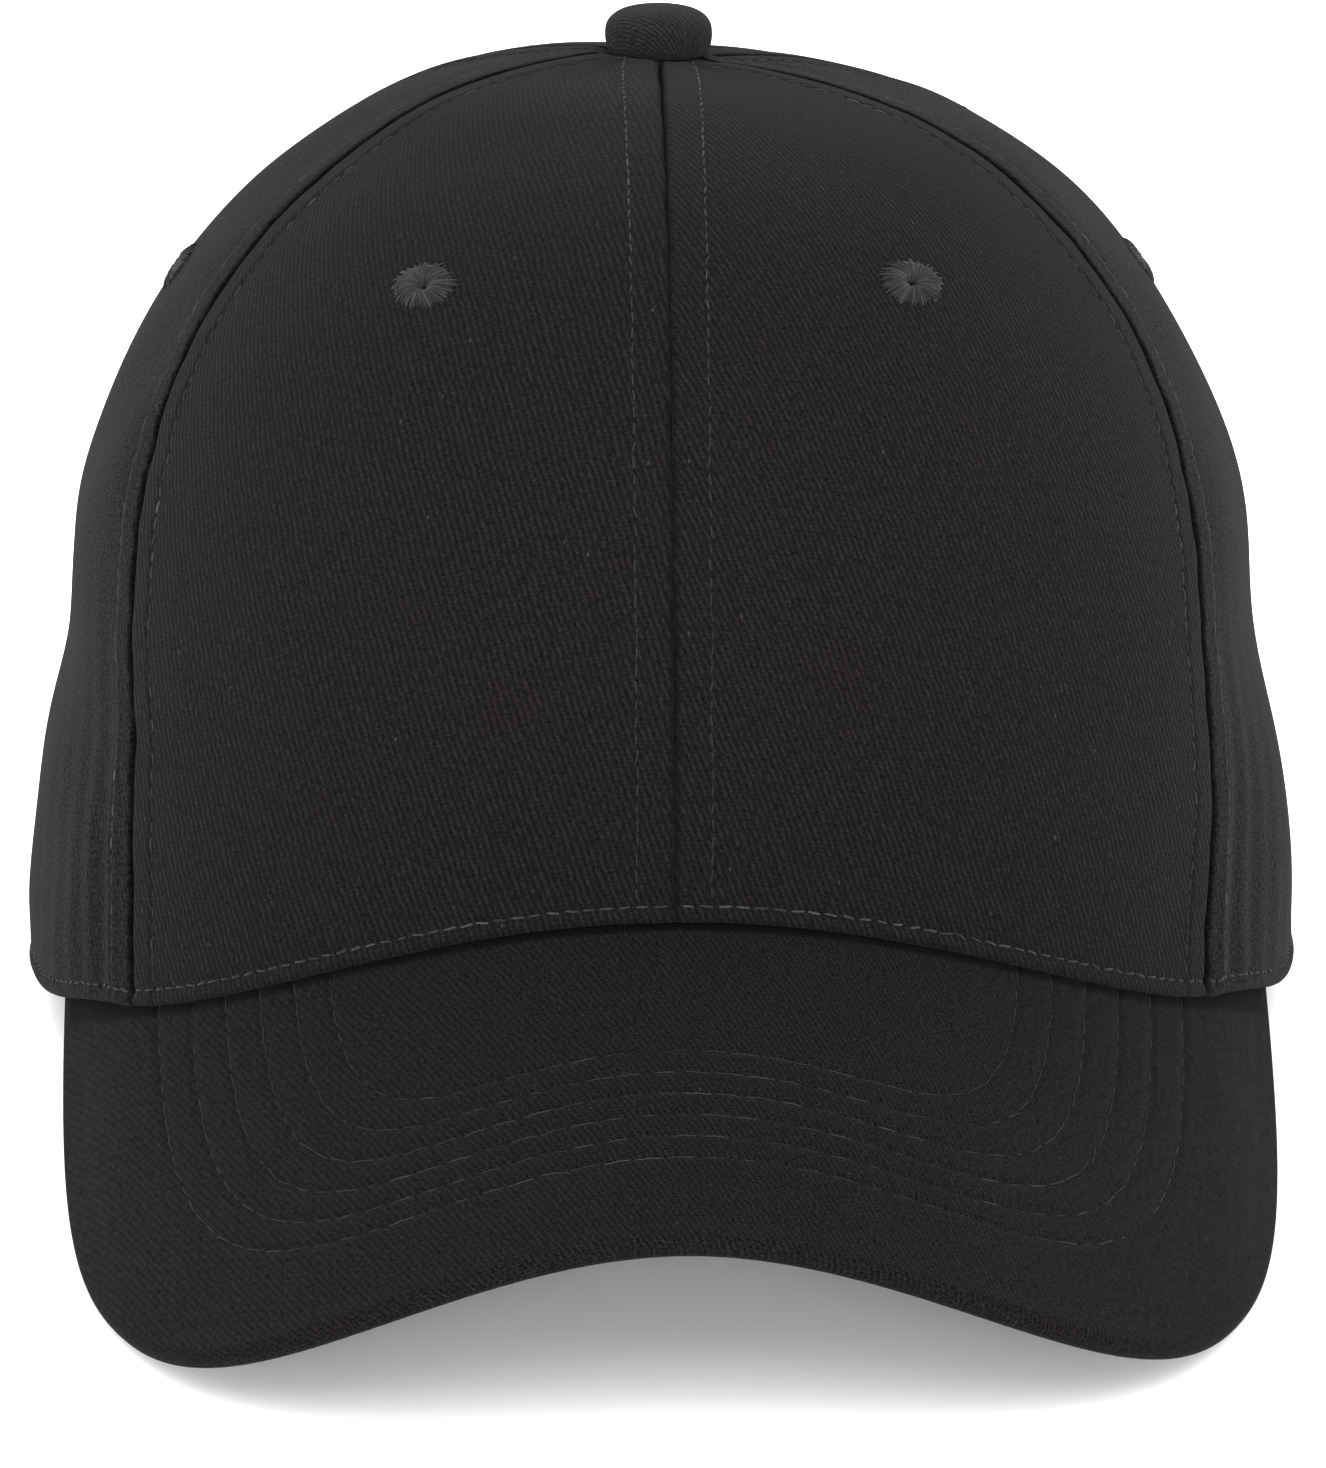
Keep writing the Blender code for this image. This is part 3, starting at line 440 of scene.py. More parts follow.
def wobble(climb, phase):
    """How far a hand-guided seam strays sideways, as an angle, nothing at the hem and at the top."""
    slow, quick = WOBBLE_WAVES
    rise, fade = WOBBLE_ENDS
    stray = np.sin(climb * slow + phase) + 0.7 * np.sin(climb * quick + 2 * phase)
    return SEAM_WOBBLE / CROWN_RADIUS * stray * ease(climb / rise) * ease((1 - climb) / fade)


def centre_seam(climb):
    return 0.5 * wobble(climb, 0.8)


def mirrored_centre_seam(climb):
    """The same line for the right panels, whose turns are counted the other way."""
    return -centre_seam(climb)


def straight_front_seam(climb):
    return mix(FRONT_SEAM_BASE, FRONT_SEAM_TOP, ease(climb / FRONT_SEAM_SETTLES))


def seam_bow(climb, middle):
    """A soft bend in a seam above the sweatband, as an angle."""
    return SEAM_WANDER / CROWN_RADIUS * bell(climb - middle, SEAM_BOW_SPREAD)


def right_front_seam(climb):
    """The front seam on the wearer's right, which bows a little towards the front."""
    return straight_front_seam(climb) + wobble(climb, 2.1) - 0.5 * seam_bow(climb, 0.13)


def left_front_seam(climb):
    """The front seam on the wearer's left, which bows towards the side."""
    return straight_front_seam(climb) + wobble(climb, 4.0) + seam_bow(climb, 0.10)


def rear_seam(climb):
    return np.full_like(climb, REAR_SEAM)


def back_seam(climb):
    return np.full_like(climb, HALF_TURN)


# Brim surface and hem


def brim_height(x, y):
    """The top of the brim: a bent sheet that falls away forwards and hangs with the hem at its ends."""
    bend = (BRIM_END_X**2 - x * x) / (2 * BRIM_BEND_RADIUS)
    hang = sag(np.arcsin(np.minimum(np.abs(x) / CROWN_RADIUS, 1.0)), 0.0)
    return bend + (y - BRIM_END_Y) * math.tan(BRIM_PITCH) - hang - SEAT


def brim_up(plan):
    x, y = plan[..., 0], plan[..., 1]
    drop = brim_height(x - BRIM_SLOPE_STEP, y) - brim_height(x + BRIM_SLOPE_STEP, y)
    return unit(join(drop / (2 * BRIM_SLOPE_STEP), -math.tan(BRIM_PITCH), 1.0))


def brim_point(plan, depth):
    x, y = plan[..., 0], plan[..., 1]
    return join(x, y, brim_height(x, y)) - brim_up(plan) * depth


def brim_outline(angle):
    wide = (np.abs(np.sin(angle)) / BRIM_HALF_WIDTH) ** BRIM_FULLNESS
    deep = (np.abs(np.cos(angle)) / BRIM_FORWARD) ** BRIM_FULLNESS
    reach = (wide + deep) ** (-1 / BRIM_FULLNESS)
    return join(reach * np.sin(angle), BRIM_CENTRE_Y - reach * np.cos(angle))


def support_height(points):
    """What the hem sits on: the brim at the front, and the floor at the rear."""
    hanging = -sag(turn_of(points), 0.0)
    seated = brim_height(points[..., 0], points[..., 1]) + SEAT
    seated = np.where(points[..., 1] < BRIM_END_Y, seated, hanging)
    resting = (points[..., 1] - HEM_REST_Y) * math.tan(REST_TILT)
    return np.maximum.reduce([seated, resting, hanging])


def hem_height(turn):
    """The hem's height on the crown, before its sag is taken off."""
    return support_height(crown_surface(turn, 0.0)) + sag(turn, 0.0)


def opening_height(away):
    share = np.minimum(away / OPENING_HALF_ANGLE, 1.0)
    return OPENING_HEIGHT * (1 - share**OPENING_FULLNESS) ** (1 / OPENING_FULLNESS)


def rear_bottom(turn):
    return np.maximum(hem_height(turn), opening_height(HALF_TURN - np.abs(turn)))


# Mesh helpers


def settle(points):
    """Points of the cap's own frame where the cap rests."""
    return points @ REST_ARRAY[:3, :3].T + REST_ARRAY[:3, 3]


def set_cloth(data, places):
    flat = data.attributes.new("cloth", "FLOAT_VECTOR", "POINT")
    flat.data.foreach_set("vector", places.astype(np.float32).ravel())


def piece(name, points, faces, flat, look, body="cap", node=None):
    """A named mesh in its resting place, drawn for a node of the part if one is given. flat holds
    each point's place in the flat cloth, in mm, and as a third value how much painted shade the
    cloth gets in a seam, at a hem's edge or beside the crown, or how pale a stitch is."""
    data = bpy.data.meshes.new(name)
    data.from_pydata(settle(points).tolist(), [], faces)
    places = np.zeros((len(points), 3))
    places[:, : flat.shape[-1]] = flat.reshape(len(points), -1)
    set_cloth(data, places)
    data.polygons.foreach_set("use_smooth", [True] * len(data.polygons))
    data.materials.append(LOOKS[look])
    data.update()
    made = bpy.data.objects.new(name, data)
    bpy.context.scene.collection.objects.link(made)
    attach(made, body)
    if node:
        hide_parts(node)
    return made


def sheet_faces(rows, columns):
    """Faces of a closed sheet whose outer skin comes first, then its inner skin."""
    grid = np.arange(rows * columns).reshape(rows, columns)
    quads = join(grid[:-1, :-1], grid[:-1, 1:], grid[1:, 1:], grid[1:, :-1]).reshape(-1, 4)
    below = quads[:, [0, 3, 2, 1]] + grid.size
    rim = np.concatenate([grid[0], grid[1:, -1], grid[-1, -2::-1], grid[-2:0:-1, 0]])
    low = rim + grid.size
    edge = join(rim, low, np.roll(low, -1), np.roll(rim, -1))
    return np.concatenate([quads, below, edge])


def cloth_sheet(node, outer, inner, flat, look, slot, body="cap", drawn=None):
    """A closed sheet of cloth between two matching grids, facing outwards."""
    faces = sheet_faces(*outer.shape[:2])
    points = np.concatenate([outer.reshape(-1, 3), inner.reshape(-1, 3)])
    a, b, c = points[faces[0][:3]]
    if np.cross(b - a, c - a) @ (outer - inner)[0, 0] <= 0:
        faces = faces[:, ::-1]
    places = np.concatenate([flat, flat])
    return piece(drawn or f"{node}_cloth", points, faces.tolist(), places, look, body, node)


def path_length(points):
    steps = np.linalg.norm(np.diff(points, axis=0), axis=-1)
    return np.concatenate([[0.0], np.cumsum(steps)])


def along_path(values, run, at):
    return np.stack([np.interp(at, run, values[:, k]) for k in range(values.shape[1])], -1)


# Stitches

RINGS = 7
SIDES = 6
RING_ANGLES = np.arange(SIDES) * (FULL_TURN / SIDES)
EVEN_SHARES = np.linspace(0, 1, RINGS)
TICKED_SHARES = np.array([0, 0.03, 0.08, 0.5, 0.92, 0.97, 1.0])
STITCH_JITTER = np.array([0.00012, 0.00012, 0.00014])
STITCH_PROUD = (-0.00006, 0.00010)
STITCH_SINK = 0.0002
STITCH_STEP = 0.0002
TICK = 0.6


def ring_points(centre, over, side, thick):
    """Rings of points round threads whose centres are laid out by thread and ring."""
    around = RING_ANGLES[:, None]
    spokes = over[..., None, :] * np.cos(around) + side[..., None, :] * np.sin(around)
    return centre[..., None, :] + spokes * thick[..., None, None]


class Stitches:
    """Rows of separate thread stitches gathered into one mesh."""

    def __init__(self, seed):
        self.points = []
        self.flat = []
        self.draws = np.random.default_rng(seed)

    def add(self, rings, flat):
        self.points.append(rings.reshape(-1, 3))
        self.flat.append(flat.reshape(-1, 3))

    def row(
        self,
        path,
        normals,
        pitch,
        radius=THREAD_RADIUS,
        gap=STITCH_GAP,
        shift=0.0,
        shares=EVEN_SHARES,
        pale=1.0,
    ):
        """Stitches along a path on the cloth, each rising out of one needle hole and into the next."""
        run = path_length(path)
        number = max(int(run[-1] / pitch), 1)
        pitch = run[-1] / number
        starts = (np.arange(number) + shift) * pitch
        jitter = self.draws.normal(size=(number, 3)) * STITCH_JITTER
        first = starts + gap / 2 + jitter[:, 0]
        last = starts + pitch - gap / 2 + jitter[:, 1]
        at = np.clip(mix(first[:, None], last[:, None], shares), 0, run[-1])
        normal = unit(along_path(normals, run, at))
        ahead = along_path(path, run, at + STITCH_STEP) - along_path(path, run, at - STITCH_STEP)
        side = unit(np.cross(unit(ahead), normal))
        arch = np.sin(math.pi * shares) ** 0.55
        proud = self.draws.uniform(*STITCH_PROUD, number)[:, None]
        lean = (2 * shares - 1) * jitter[:, 2:]
        centre = along_path(path, run, at) + side * lean[..., None]
        centre = centre + normal * mix(-STITCH_SINK, proud, arch)[..., None]
        thick = radius * mix(0.7, 1.0, arch) * self.draws.uniform(0.85, 1.15, number)[:, None]
        shown = along_path(np.broadcast_to(pale, len(path))[:, None], run, starts)
        tone = shown * (self.draws.beta(1.3, 2.2, number)[:, None] + TICK * bell(arch, 0.45))
        flat = join(RING_ANGLES, at[..., None] / MM, tone[..., None])
        self.add(ring_points(centre, normal, side, thick), flat)

    def make(self, name, look, body="cap"):
        """One piece of all the stitches: the tube and the two ends of one, repeated."""
        points = np.concatenate(self.points)
        grid = np.arange(RINGS * SIDES).reshape(RINGS, SIDES)
        beside = np.roll(grid, -1, 1)
        tube = join(grid[:-1], grid[1:], beside[1:], beside[:-1]).reshape(-1, 4)
        ends = np.array([grid[0], grid[-1, ::-1]])
        starts = np.arange(0, len(points), grid.size)[:, None, None]
        faces = (tube + starts).reshape(-1, 4).tolist() + (ends + starts).reshape(-1, SIDES).tolist()
        piece(name, points, faces, np.concatenate(self.flat), look, body)


# Materials


class Look:
    """A node material with a Principled shader, built one node at a time."""

    def __init__(self, name, **sockets):
        self.material = bpy.data.materials.new(name)
        self.material.use_nodes = True
        self.tree = self.material.node_tree
        self.shader = self.tree.nodes["Principled BSDF"]
        for socket, value in sockets.items():
            self.shader.inputs[socket.replace("_", " ")].default_value = value

    def node(self, kind, inputs=(), **settings):
        made = self.tree.nodes.new(kind)
        for key, value in settings.items():
            setattr(made, key, value)
        for key, value in dict(inputs).items():
            if isinstance(value, bpy.types.NodeSocket):
                self.tree.links.new(value, made.inputs[key])
            else:
                made.inputs[key].default_value = value
        return made

    def flat_cloth(self):
        return self.node("ShaderNodeAttribute", attribute_name="cloth").outputs["Vector"]

    def object_place(self):
        return self.node("ShaderNodeTexCoord").outputs["Object"]

    def math(self, operation, *values):
        return self.node("ShaderNodeMath", enumerate(values), operation=operation).outputs[0]

    def vectors(self, operation, first, key, second):
        return self.node("ShaderNodeVectorMath", {0: first, key: second}, operation=operation).outputs[0]

    def along(self, place, axis):
        return self.node("ShaderNodeSeparateXYZ", {0: place}).outputs[axis]

    def scaled(self, place, scale):
        return self.node("ShaderNodeMapping", {"Vector": place, "Scale": scale}).outputs[0]

    def half(self, value):
        return self.math("MULTIPLY_ADD", value, 0.5, 0.5)

    def wave(self, value, length):
        """A sine of 0 to 1 with this wavelength."""
        return self.half(self.math("SINE", self.math("MULTIPLY", value, FULL_TURN / length)))

    def noise(self, place, scale, detail=2.0, roughness=0.55, output="Fac"):
        inputs = {"Vector": place, "Scale": scale, "Detail": detail, "Roughness": roughness}
        return self.node("ShaderNodeTexNoise", inputs).outputs[output]

    def drawn_out(self, place, reach):
        """A place whose x grows more slowly the further it is from nought."""
        angle = self.math("ARCTANGENT", self.math("DIVIDE", self.along(place, "X"), reach))
        inputs = {"X": self.math("MULTIPLY", angle, reach), "Y": self.along(place, "Y")}
        return self.node("ShaderNodeCombineXYZ", inputs).outputs[0]

    def spread(self, value, low, high, first, last):
        """A value's run from low to high, laid over first to last."""
        return self.node("ShaderNodeMapRange", enumerate((value, low, high, first, last))).outputs[0]

    def ramp(self, value, *stops):
        made = self.node("ShaderNodeValToRGB", {0: value})
        for stop, (place, colour) in zip(made.color_ramp.elements, stops):
            stop.position = place
            stop.color = (*colour, 1)
        return made.outputs[0]

    def blend(self, share, first, second, kind="MIX"):
        inputs = {"Factor": share, 6: first, 7: second}
        return self.node("ShaderNodeMix", inputs, data_type="RGBA", blend_type=kind).outputs[2]

    def link(self, socket, value):
        self.tree.links.new(value, self.shader.inputs[socket])

    def bump(self, height, distance, strength=1.0):
        inputs = {"Height": height, "Distance": distance, "Strength": strength}
        self.link("Normal", self.node("ShaderNodeBump", inputs).outputs[0])


def grey(value, warmth=0.0):
    return (value * (1 + warmth), value, value * (1 - warmth))


# Twill: scales of its noises, and each noise's low and high laid over a first and last value
WANDER_SCALE = 0.40
WEFT_PITCH = 0.61
WEFT_SHARE = 0.45
STREAK_SCALE = (1.3, 0.8, 1.0)
STREAK_SPREAD = (0.30, 0.70, 0.15, 1.3)
NAP_SPREAD = (0.25, 0.75, 0.0, 1.0)
PATCH_SCALE = 0.045
PATCH_SPREAD = (0.36, 0.64, 0.0, 1.0)
LINT_STRETCH = (1.0, 0.6, 1.0)
LINT_SPREAD = (0.015, 0.060, 0.50, 0.0)
# Painted shade: the share by which cloth is darkened in seams, at the hem's edge and beside the crown, and
# the near black it goes to
SEAM_SHADE = 0.9
PAINTED_SHADE_COLOUR = (0.0006, 0.0006, 0.0006, 1)
LINT_COLOUR = (0.075, 0.074, 0.073, 1)
SHEEN_COLOUR = (0.90, 0.88, 0.87, 1)
BRUSHED = dict(Roughness=0.95, Specular_IOR_Level=0.08, Sheen_Roughness=0.45, Sheen_Tint=SHEEN_COLOUR)
NEUTRAL_DYES = ((1.03, 1.00, 0.99, 1), (1.00, 1.00, 1.01, 1))
WARM_DYES = ((1.12, 0.975, 0.95, 1), (1.06, 0.98, 1.02, 1))


def twill(
    name,
    lean,
    pitch=0.95,
    low=0.0025,
    high=0.0182,
    sheen=0.05,
    depth=0.0002,
    lines=0.44,
    stray=0.7,
    limits=(0.12, 0.72),
    nap_scale=(2.2, 2.2, 1.0),
    nap_reach=None,
    lint_scale=0.24,
    dyes=NEUTRAL_DYES,
):
    """Brushed black twill: diagonal ridges broken by loose fibre, patchy dye and a little lint, darkened
    to near black by painted shade where the cloth's third value says so.
    lean is the ridges' angle in degrees, lines is their share of the relief, and limits are the
    reliefs of the low and high tones. With a nap_reach the nap lies longer away from the middle."""
    look = Look(name, Sheen_Weight=sheen, **BRUSHED)
    flat = look.flat_cloth()
    wander = look.noise(flat, WANDER_SCALE, 3.0, output="Color")
    wander = look.vectors("SUBTRACT", wander, 1, (0.5, 0.5, 0.5))
    place = look.vectors("ADD", flat, 1, look.vectors("SCALE", wander, "Scale", stray))
    turn = {"Vector": place, "Angle": math.radians(lean)}
    turned = look.node("ShaderNodeVectorRotate", turn, rotation_type="Z_AXIS").outputs[0]
    streak = look.noise(look.scaled(turned, STREAK_SCALE), 1.0, 2.0)
    weft = look.math("MULTIPLY", look.wave(look.along(place, "Y"), WEFT_PITCH), WEFT_SHARE)
    ridge = look.wave(look.along(turned, "X"), pitch)
    ridge = look.math("MULTIPLY", ridge, look.math("SUBTRACT", 1.0, weft))
    wale = look.math("MULTIPLY", ridge, look.spread(streak, *STREAK_SPREAD))
    napped = flat if nap_reach is None else look.drawn_out(flat, nap_reach)
    fibre = look.noise(look.scaled(napped, nap_scale), 1.0, 3.0, 0.75)
    nap = look.spread(fibre, *NAP_SPREAD)
    height = look.math("ADD", look.math("MULTIPLY", wale, lines), look.math("MULTIPLY", nap, 1 - lines))
    look.bump(height, depth)
    tone = look.ramp(height, (limits[0], grey(low)), (limits[1], grey(high)))
    patches = look.spread(look.noise(flat, PATCH_SCALE, 3.0), *PATCH_SPREAD)
    dyed = look.blend(patches, *[look.blend(1.0, tone, dye, "MULTIPLY") for dye in dyes])
    specks = {"Vector": look.scaled(place, LINT_STRETCH), "Scale": lint_scale}
    specks = look.node("ShaderNodeTexVoronoi", specks, feature="F1").outputs["Distance"]
    linted = look.blend(look.spread(specks, *LINT_SPREAD), dyed, LINT_COLOUR)
    # painted shade: the cloth's third value darkens it towards near black in seams, at the hem's edge and on
    # the brim beside the crown
    deep = look.math("MULTIPLY", look.along(flat, "Z"), SEAM_SHADE)
    look.link("Base Color", look.blend(deep, linted, PAINTED_SHADE_COLOUR))
    return look.material


def thread(name, low, high, sheen=0.15):
    """Twisted sewing thread: fine slanting plies along each stitch, some stitches paler than others."""
    look = Look(name, Roughness=0.75, Specular_IOR_Level=0.2, Sheen_Weight=sheen, Sheen_Roughness=0.4)
    flat = look.flat_cloth()
    slant = look.math("MULTIPLY_ADD", look.along(flat, "Y"), 7.0, look.along(flat, "X"))
    plies = look.half(look.math("SINE", look.math("MULTIPLY", slant, 2.0)))
    uneven = look.math("MULTIPLY", look.noise(flat, 0.8, 2.0), 0.3)
    grain = look.math("MULTIPLY_ADD", plies, 0.2, uneven)
    tone = look.math("MULTIPLY_ADD", look.along(flat, "Z"), 0.7, grain)
    look.link("Base Color", look.ramp(tone, (0.2, grey(low)), (0.95, grey(high))))
    look.bump(plies, 0.00004)
    return look.material


def plain_weave(name, low, high, pitch, depth):
    """A square weave: over-and-under threads both ways, with open corners."""
    look = Look(name, Roughness=0.85, Specular_IOR_Level=0.25, Sheen_Weight=0.15, Sheen_Roughness=0.5)
    flat = look.flat_cloth()
    weave = look.math("MAXIMUM", *[look.wave(look.along(flat, axis), pitch) for axis in "XY"])
    height = look.math("MULTIPLY_ADD", look.noise(flat, 2.4, 3.0), 0.4, weave)
    look.link("Base Color", look.ramp(height, (0.35, grey(low, 0.02)), (1.2, grey(high, 0.02))))
    look.bump(height, depth)
    return look.material


def metal(name, colour, roughness):
    """Plated steel with a fine brushed grain and duller patches."""
    look = Look(name, Metallic=1.0)
    where = look.object_place()
    grain = look.noise(look.scaled(where, (300, 300, 9000)), 1.0, 3.0, 0.6)
    wear = look.noise(where, 420.0, 4.0, 0.6)
    look.link("Roughness", look.spread(wear, 0.3, 0.75, roughness - 0.08, roughness + 0.16))
    dull = tuple(0.72 * c for c in colour)
    look.link("Base Color", look.ramp(grain, (0.3, dull), (0.75, colour)))
    look.bump(grain, 0.000006, 0.6)
    return look.material


def moulded(name, low, high):
    """Moulded sheet plastic with a fine grain."""
    look = Look(name, Roughness=0.5)
    grain = look.noise(look.object_place(), 900.0, 3.0)
    look.link("Base Color", look.ramp(grain, (0.3, grey(low)), (0.7, grey(high))))
    look.bump(grain, 0.00004, 0.5)
    return look.material


LOOKS = {
    "front": twill("panel_twill", -21, dyes=WARM_DYES),
    "side": twill(
        "side_twill",
        -21,
        low=0.0012,
        high=0.0176,
        lines=0.22,
        limits=(0.25, 0.65),
        nap_scale=(0.95, 2.0, 1.0),
    ),
    "brim": twill(
        "brim_twill",
        -25,
        pitch=0.85,
        low=0.0013,
        high=0.0160,
        sheen=0.03,
        depth=0.00006,
        lines=0.24,
        limits=(0.24, 0.64),
        nap_scale=(2.4, 3.2, 1.0),
        nap_reach=60.0,
        lint_scale=0.42,
        dyes=WARM_DYES,
    ),
    "rear": twill("rear_twill", -21),
    "button": twill("button_twill", -50, pitch=0.66, low=0.006, high=0.032, stray=0.25, dyes=WARM_DYES),
    "strap": twill("strap_twill", -40, pitch=0.7),
    "band": twill("sweatband_twill", -45, pitch=0.7, depth=0.0001),
    "tape": plain_weave("binding_tape", 0.004, 0.013, 0.5, 0.00008),
    "buckram": plain_weave("buckram", 0.008, 0.035, 0.9, 0.00025),
    "thread": thread("sewing_thread", 0.010, 0.064),
    "brim_thread": thread("brim_thread", 0.007, 0.046, sheen=0.08),
    # near-black thread look for the discs that paint the shade inside the hem's needle holes
    "needle_hole_shadow": thread("needle_hole_shadow", 0.0006, 0.0015),
    "floss": thread("eyelet_thread", 0.010, 0.042),
    "buckle": metal("buckle_metal", (0.56, 0.55, 0.53), 0.30),
    "rivet": metal("button_metal", (0.46, 0.45, 0.43), 0.42),
    "board": moulded("brim_board", 0.34, 0.42),
}


# Crown panels


def seam_roll(distance, radius=SEAM_ROLL):
    """How far cloth turns under towards a folded edge."""
    share = np.clip(1 - distance / radius, 0, 1)
    return -radius * (1 - np.sqrt(1 - share * share))


def seam_cleft(distance):
    """The deep, narrow line where two folded edges are sewn together."""
    return -SEAM_CLEFT * bell(distance, SEAM_CLEFT_WIDTH)


def groove(distance, width=GROOVE_WIDTH):
    return -STITCH_GROOVE * bell(distance, width)


def allowance(distance):
    """The seam allowance lying under the cloth between a seam and its topstitching."""
    end = past(distance, ALLOWANCE_END, ALLOWANCE_EDGE)
    return ALLOWANCE_RISE * ease(distance / ALLOWANCE_EDGE) * (1 - end)


def panel_columns(first, second, sign, bottom, interior):
    """Columns up a panel between two seams, crowded at its edges. Each point has its turn and climb,
    its distance from the first seam, the panel's width there and its distance up the column."""
    climbs = np.linspace(0, 1, CLIMB_STEPS)
    turns = mix(first(climbs)[:, None], second(climbs)[:, None], np.linspace(0, 1, WIDTH_STEPS))
    strips = crown_surface(turns, climbs[:, None])
    width = np.linalg.norm(np.diff(strips, axis=1), axis=-1).sum(1)[:, None]
    near = EDGE_STEPS * np.minimum(1, EDGE_SHARE * width / EDGE_STEPS[-1])
    far = width - near[:, ::-1]
    offsets = np.concatenate([near, mix(near[:, -1:], far[:, :1], interior), far], 1)
    columns = []
    for offset in offsets.T:
        shares = offset / np.maximum(width[:, 0], 1e-9)

        def turn_at(climb):
            return sign * mix(first(climb), second(climb), np.interp(climb, climbs, shares))

        low = np.zeros(1)
        for _ in range(3):
            start = turn_at(low)
            low = climb_to(start, bottom(start))
        high = climb_at_radius(turn_at(np.array([NEAR_TOP])), APEX_HOLE_RADIUS)
        steps = np.linspace(low[0], high[0], COLUMN_STEPS)
        run = path_length(crown_surface(turn_at(steps), steps))
        up = np.concatenate([HEM_STEPS, np.linspace(HEM_STEPS[-1], run[-1], PANEL_ROWS)[1:]])
        climb = np.interp(up, run, steps)
        across, wide = (np.interp(climb, climbs, values) for values in (offset, width[:, 0]))
        columns.append((turn_at(climb), climb, across, wide, up))
    return np.array(columns).transpose(1, 0, 2)


class Panel:
    """A crown panel as a grid of columns up the crown, with each point's distance from its edges."""

    def __init__(self, first, second, sign, bottom, interior, seams):
        turn, climb, offset, width, self.up = panel_columns(first, second, sign, bottom, interior)
        self.from_first = np.maximum(offset, 0)
        self.from_second = np.maximum(width - offset, 0)
        self.surface = crown_surface(turn, climb)
        self.normal = crown_normal(turn, climb)
        self.radius = np.linalg.norm(self.surface[..., :2], axis=-1)
        self.from_seams = [
            self.radius * np.sin(np.minimum(distance / self.radius, RIGHT_ANGLE))
            for distance in (self.from_first, self.from_second)
        ]
        self.from_bottom = self.edge_distance()
        self.off_button = past(self.radius, BUTTON_RADIUS, BUTTON_BLEND)
        waver = SEAM_WAVER * ripple(self.surface, SEAM_WAVER_LENGTH, 50 + sign)
        waver = waver * self.off_button * past(self.from_bottom, *WAVER_ABOVE_HEM)
        self.from_folds = [np.maximum(d + waver * ease(d / WAVER_INSET), 0) for d in self.from_seams]
        self.above_hem = mix(SEAM_AT_HEM, 1.0, past(self.from_bottom, *SEAM_ABOVE_HEM))
        across = sign * (self.from_first + GRAIN_CURVE / 2 * self.up**2)
        # the third value is the painted shade in the seams and at the hem
        self.flat = join(across / MM, self.up / MM, self.painted_seam_shade(seams))

    def edge_distance(self):
        """Distance from the bottom edge, measured to a fine line along it."""
        edge = self.surface[:, 0]
        run = path_length(edge)
        fine = along_path(edge, run, np.arange(0, run[-1], EDGE_LINE_STEP))
        near = self.up < EDGE_ZONE
        points = self.surface[near][:, None]
        distance = self.up.copy()
        for start in range(0, len(fine), EDGE_BATCH):
            gaps = np.linalg.norm(points - fine[start : start + EDGE_BATCH], axis=-1).min(1)
            distance[near] = np.minimum(distance[near], gaps)
        distance[:, 0] = 0
        return distance

    def painted_seam_shade(self, seams):
        """Painted shade: how dark each point is made deep in a seam and at the hem's folded bottom edge,
        the front seams' painted shade wider at the top.
        """
        top = 1 + TOP_SHADE_SPREAD * between(self.surface[..., 2], TOP_SHADE_RISE)
        widths = [SEAM_SHADE_WIDTHS[seam] * (top if seam == "front" else 1.0) for seam in seams]
        sunk = np.maximum(*[bell(d, width) for d, width in zip(self.from_folds, widths)])
        return np.maximum(sunk * self.above_hem, bell(self.from_bottom, HEM_SHADE_WIDTH))

    def lift(self, softness, folds, seed):
        """How far the cloth stands out of the plain crown surface."""
        height = self.above_hem * np.minimum(*[seam_roll(d) for d in self.from_folds])
        height = np.minimum(height, seam_roll(self.from_bottom, HEM_ROLL))
        height += self.above_hem * np.minimum(*[seam_cleft(d) for d in self.from_folds])
        height += self.off_button * np.maximum(*[allowance(d) for d in self.from_seams])
        height += HEM_BULGE * bell(self.from_bottom - HEM_ROLL, HEM_BULGE_WIDTH)
        pucker = ripple(self.surface * PUCKER_STRETCH, PUCKER_LENGTH, seed + 80)
        pucker = PUCKER * self.off_button * pucker
        for distance in self.from_seams:
            height += CROWN_GROOVE_SHARE * self.off_button * groove(distance - TOPSTITCH)
            height += pucker * bell(distance - TOPSTITCH / 2, PUCKER_WIDTH)
        height += groove(self.from_bottom - HEM_STITCH)
        height += HEM_PUCKER_SHARE * pucker * bell(self.from_bottom, HEM_PUCKER_WIDTH)
        free = ease(np.minimum(np.minimum(*self.from_seams), self.from_bottom) / SLACK_REACH)
        height += softness * free * ripple(self.surface, SLACK_LENGTH, seed)
        return height + self.top_lean() + folds * self.hanging_folds(seed)

    def top_lean(self):
        """The crown's top, a little high towards the front on one side and low behind on the other."""
        heading = (self.surface[..., :2] @ TOP_LEAN_HEADING) / self.radius
        ring = past(self.radius, BUTTON_RADIUS, TOP_LEAN_RISE) * (1 - between(self.radius, TOP_LEAN_FADE))
        return TOP_LEAN * heading * ring

    def hanging_folds(self, seed):
        """Soft upright folds beside a seam, deepest at the hem."""
        distance = self.from_first - FOLD_START
        stray = FOLD_STRAY * ripple(self.surface, FOLD_STRAY_LENGTH, seed + 7)
        fold = np.sin(FULL_TURN * distance / FOLD_PITCH + stray)
        reach = np.exp(-self.from_first / FOLD_REACH) * ease(distance / FOLD_RISE)
        return fold * reach * (1 - ease(self.up / FOLD_HEIGHT)) * ease(self.from_bottom / FOLD_ABOVE_HEM)


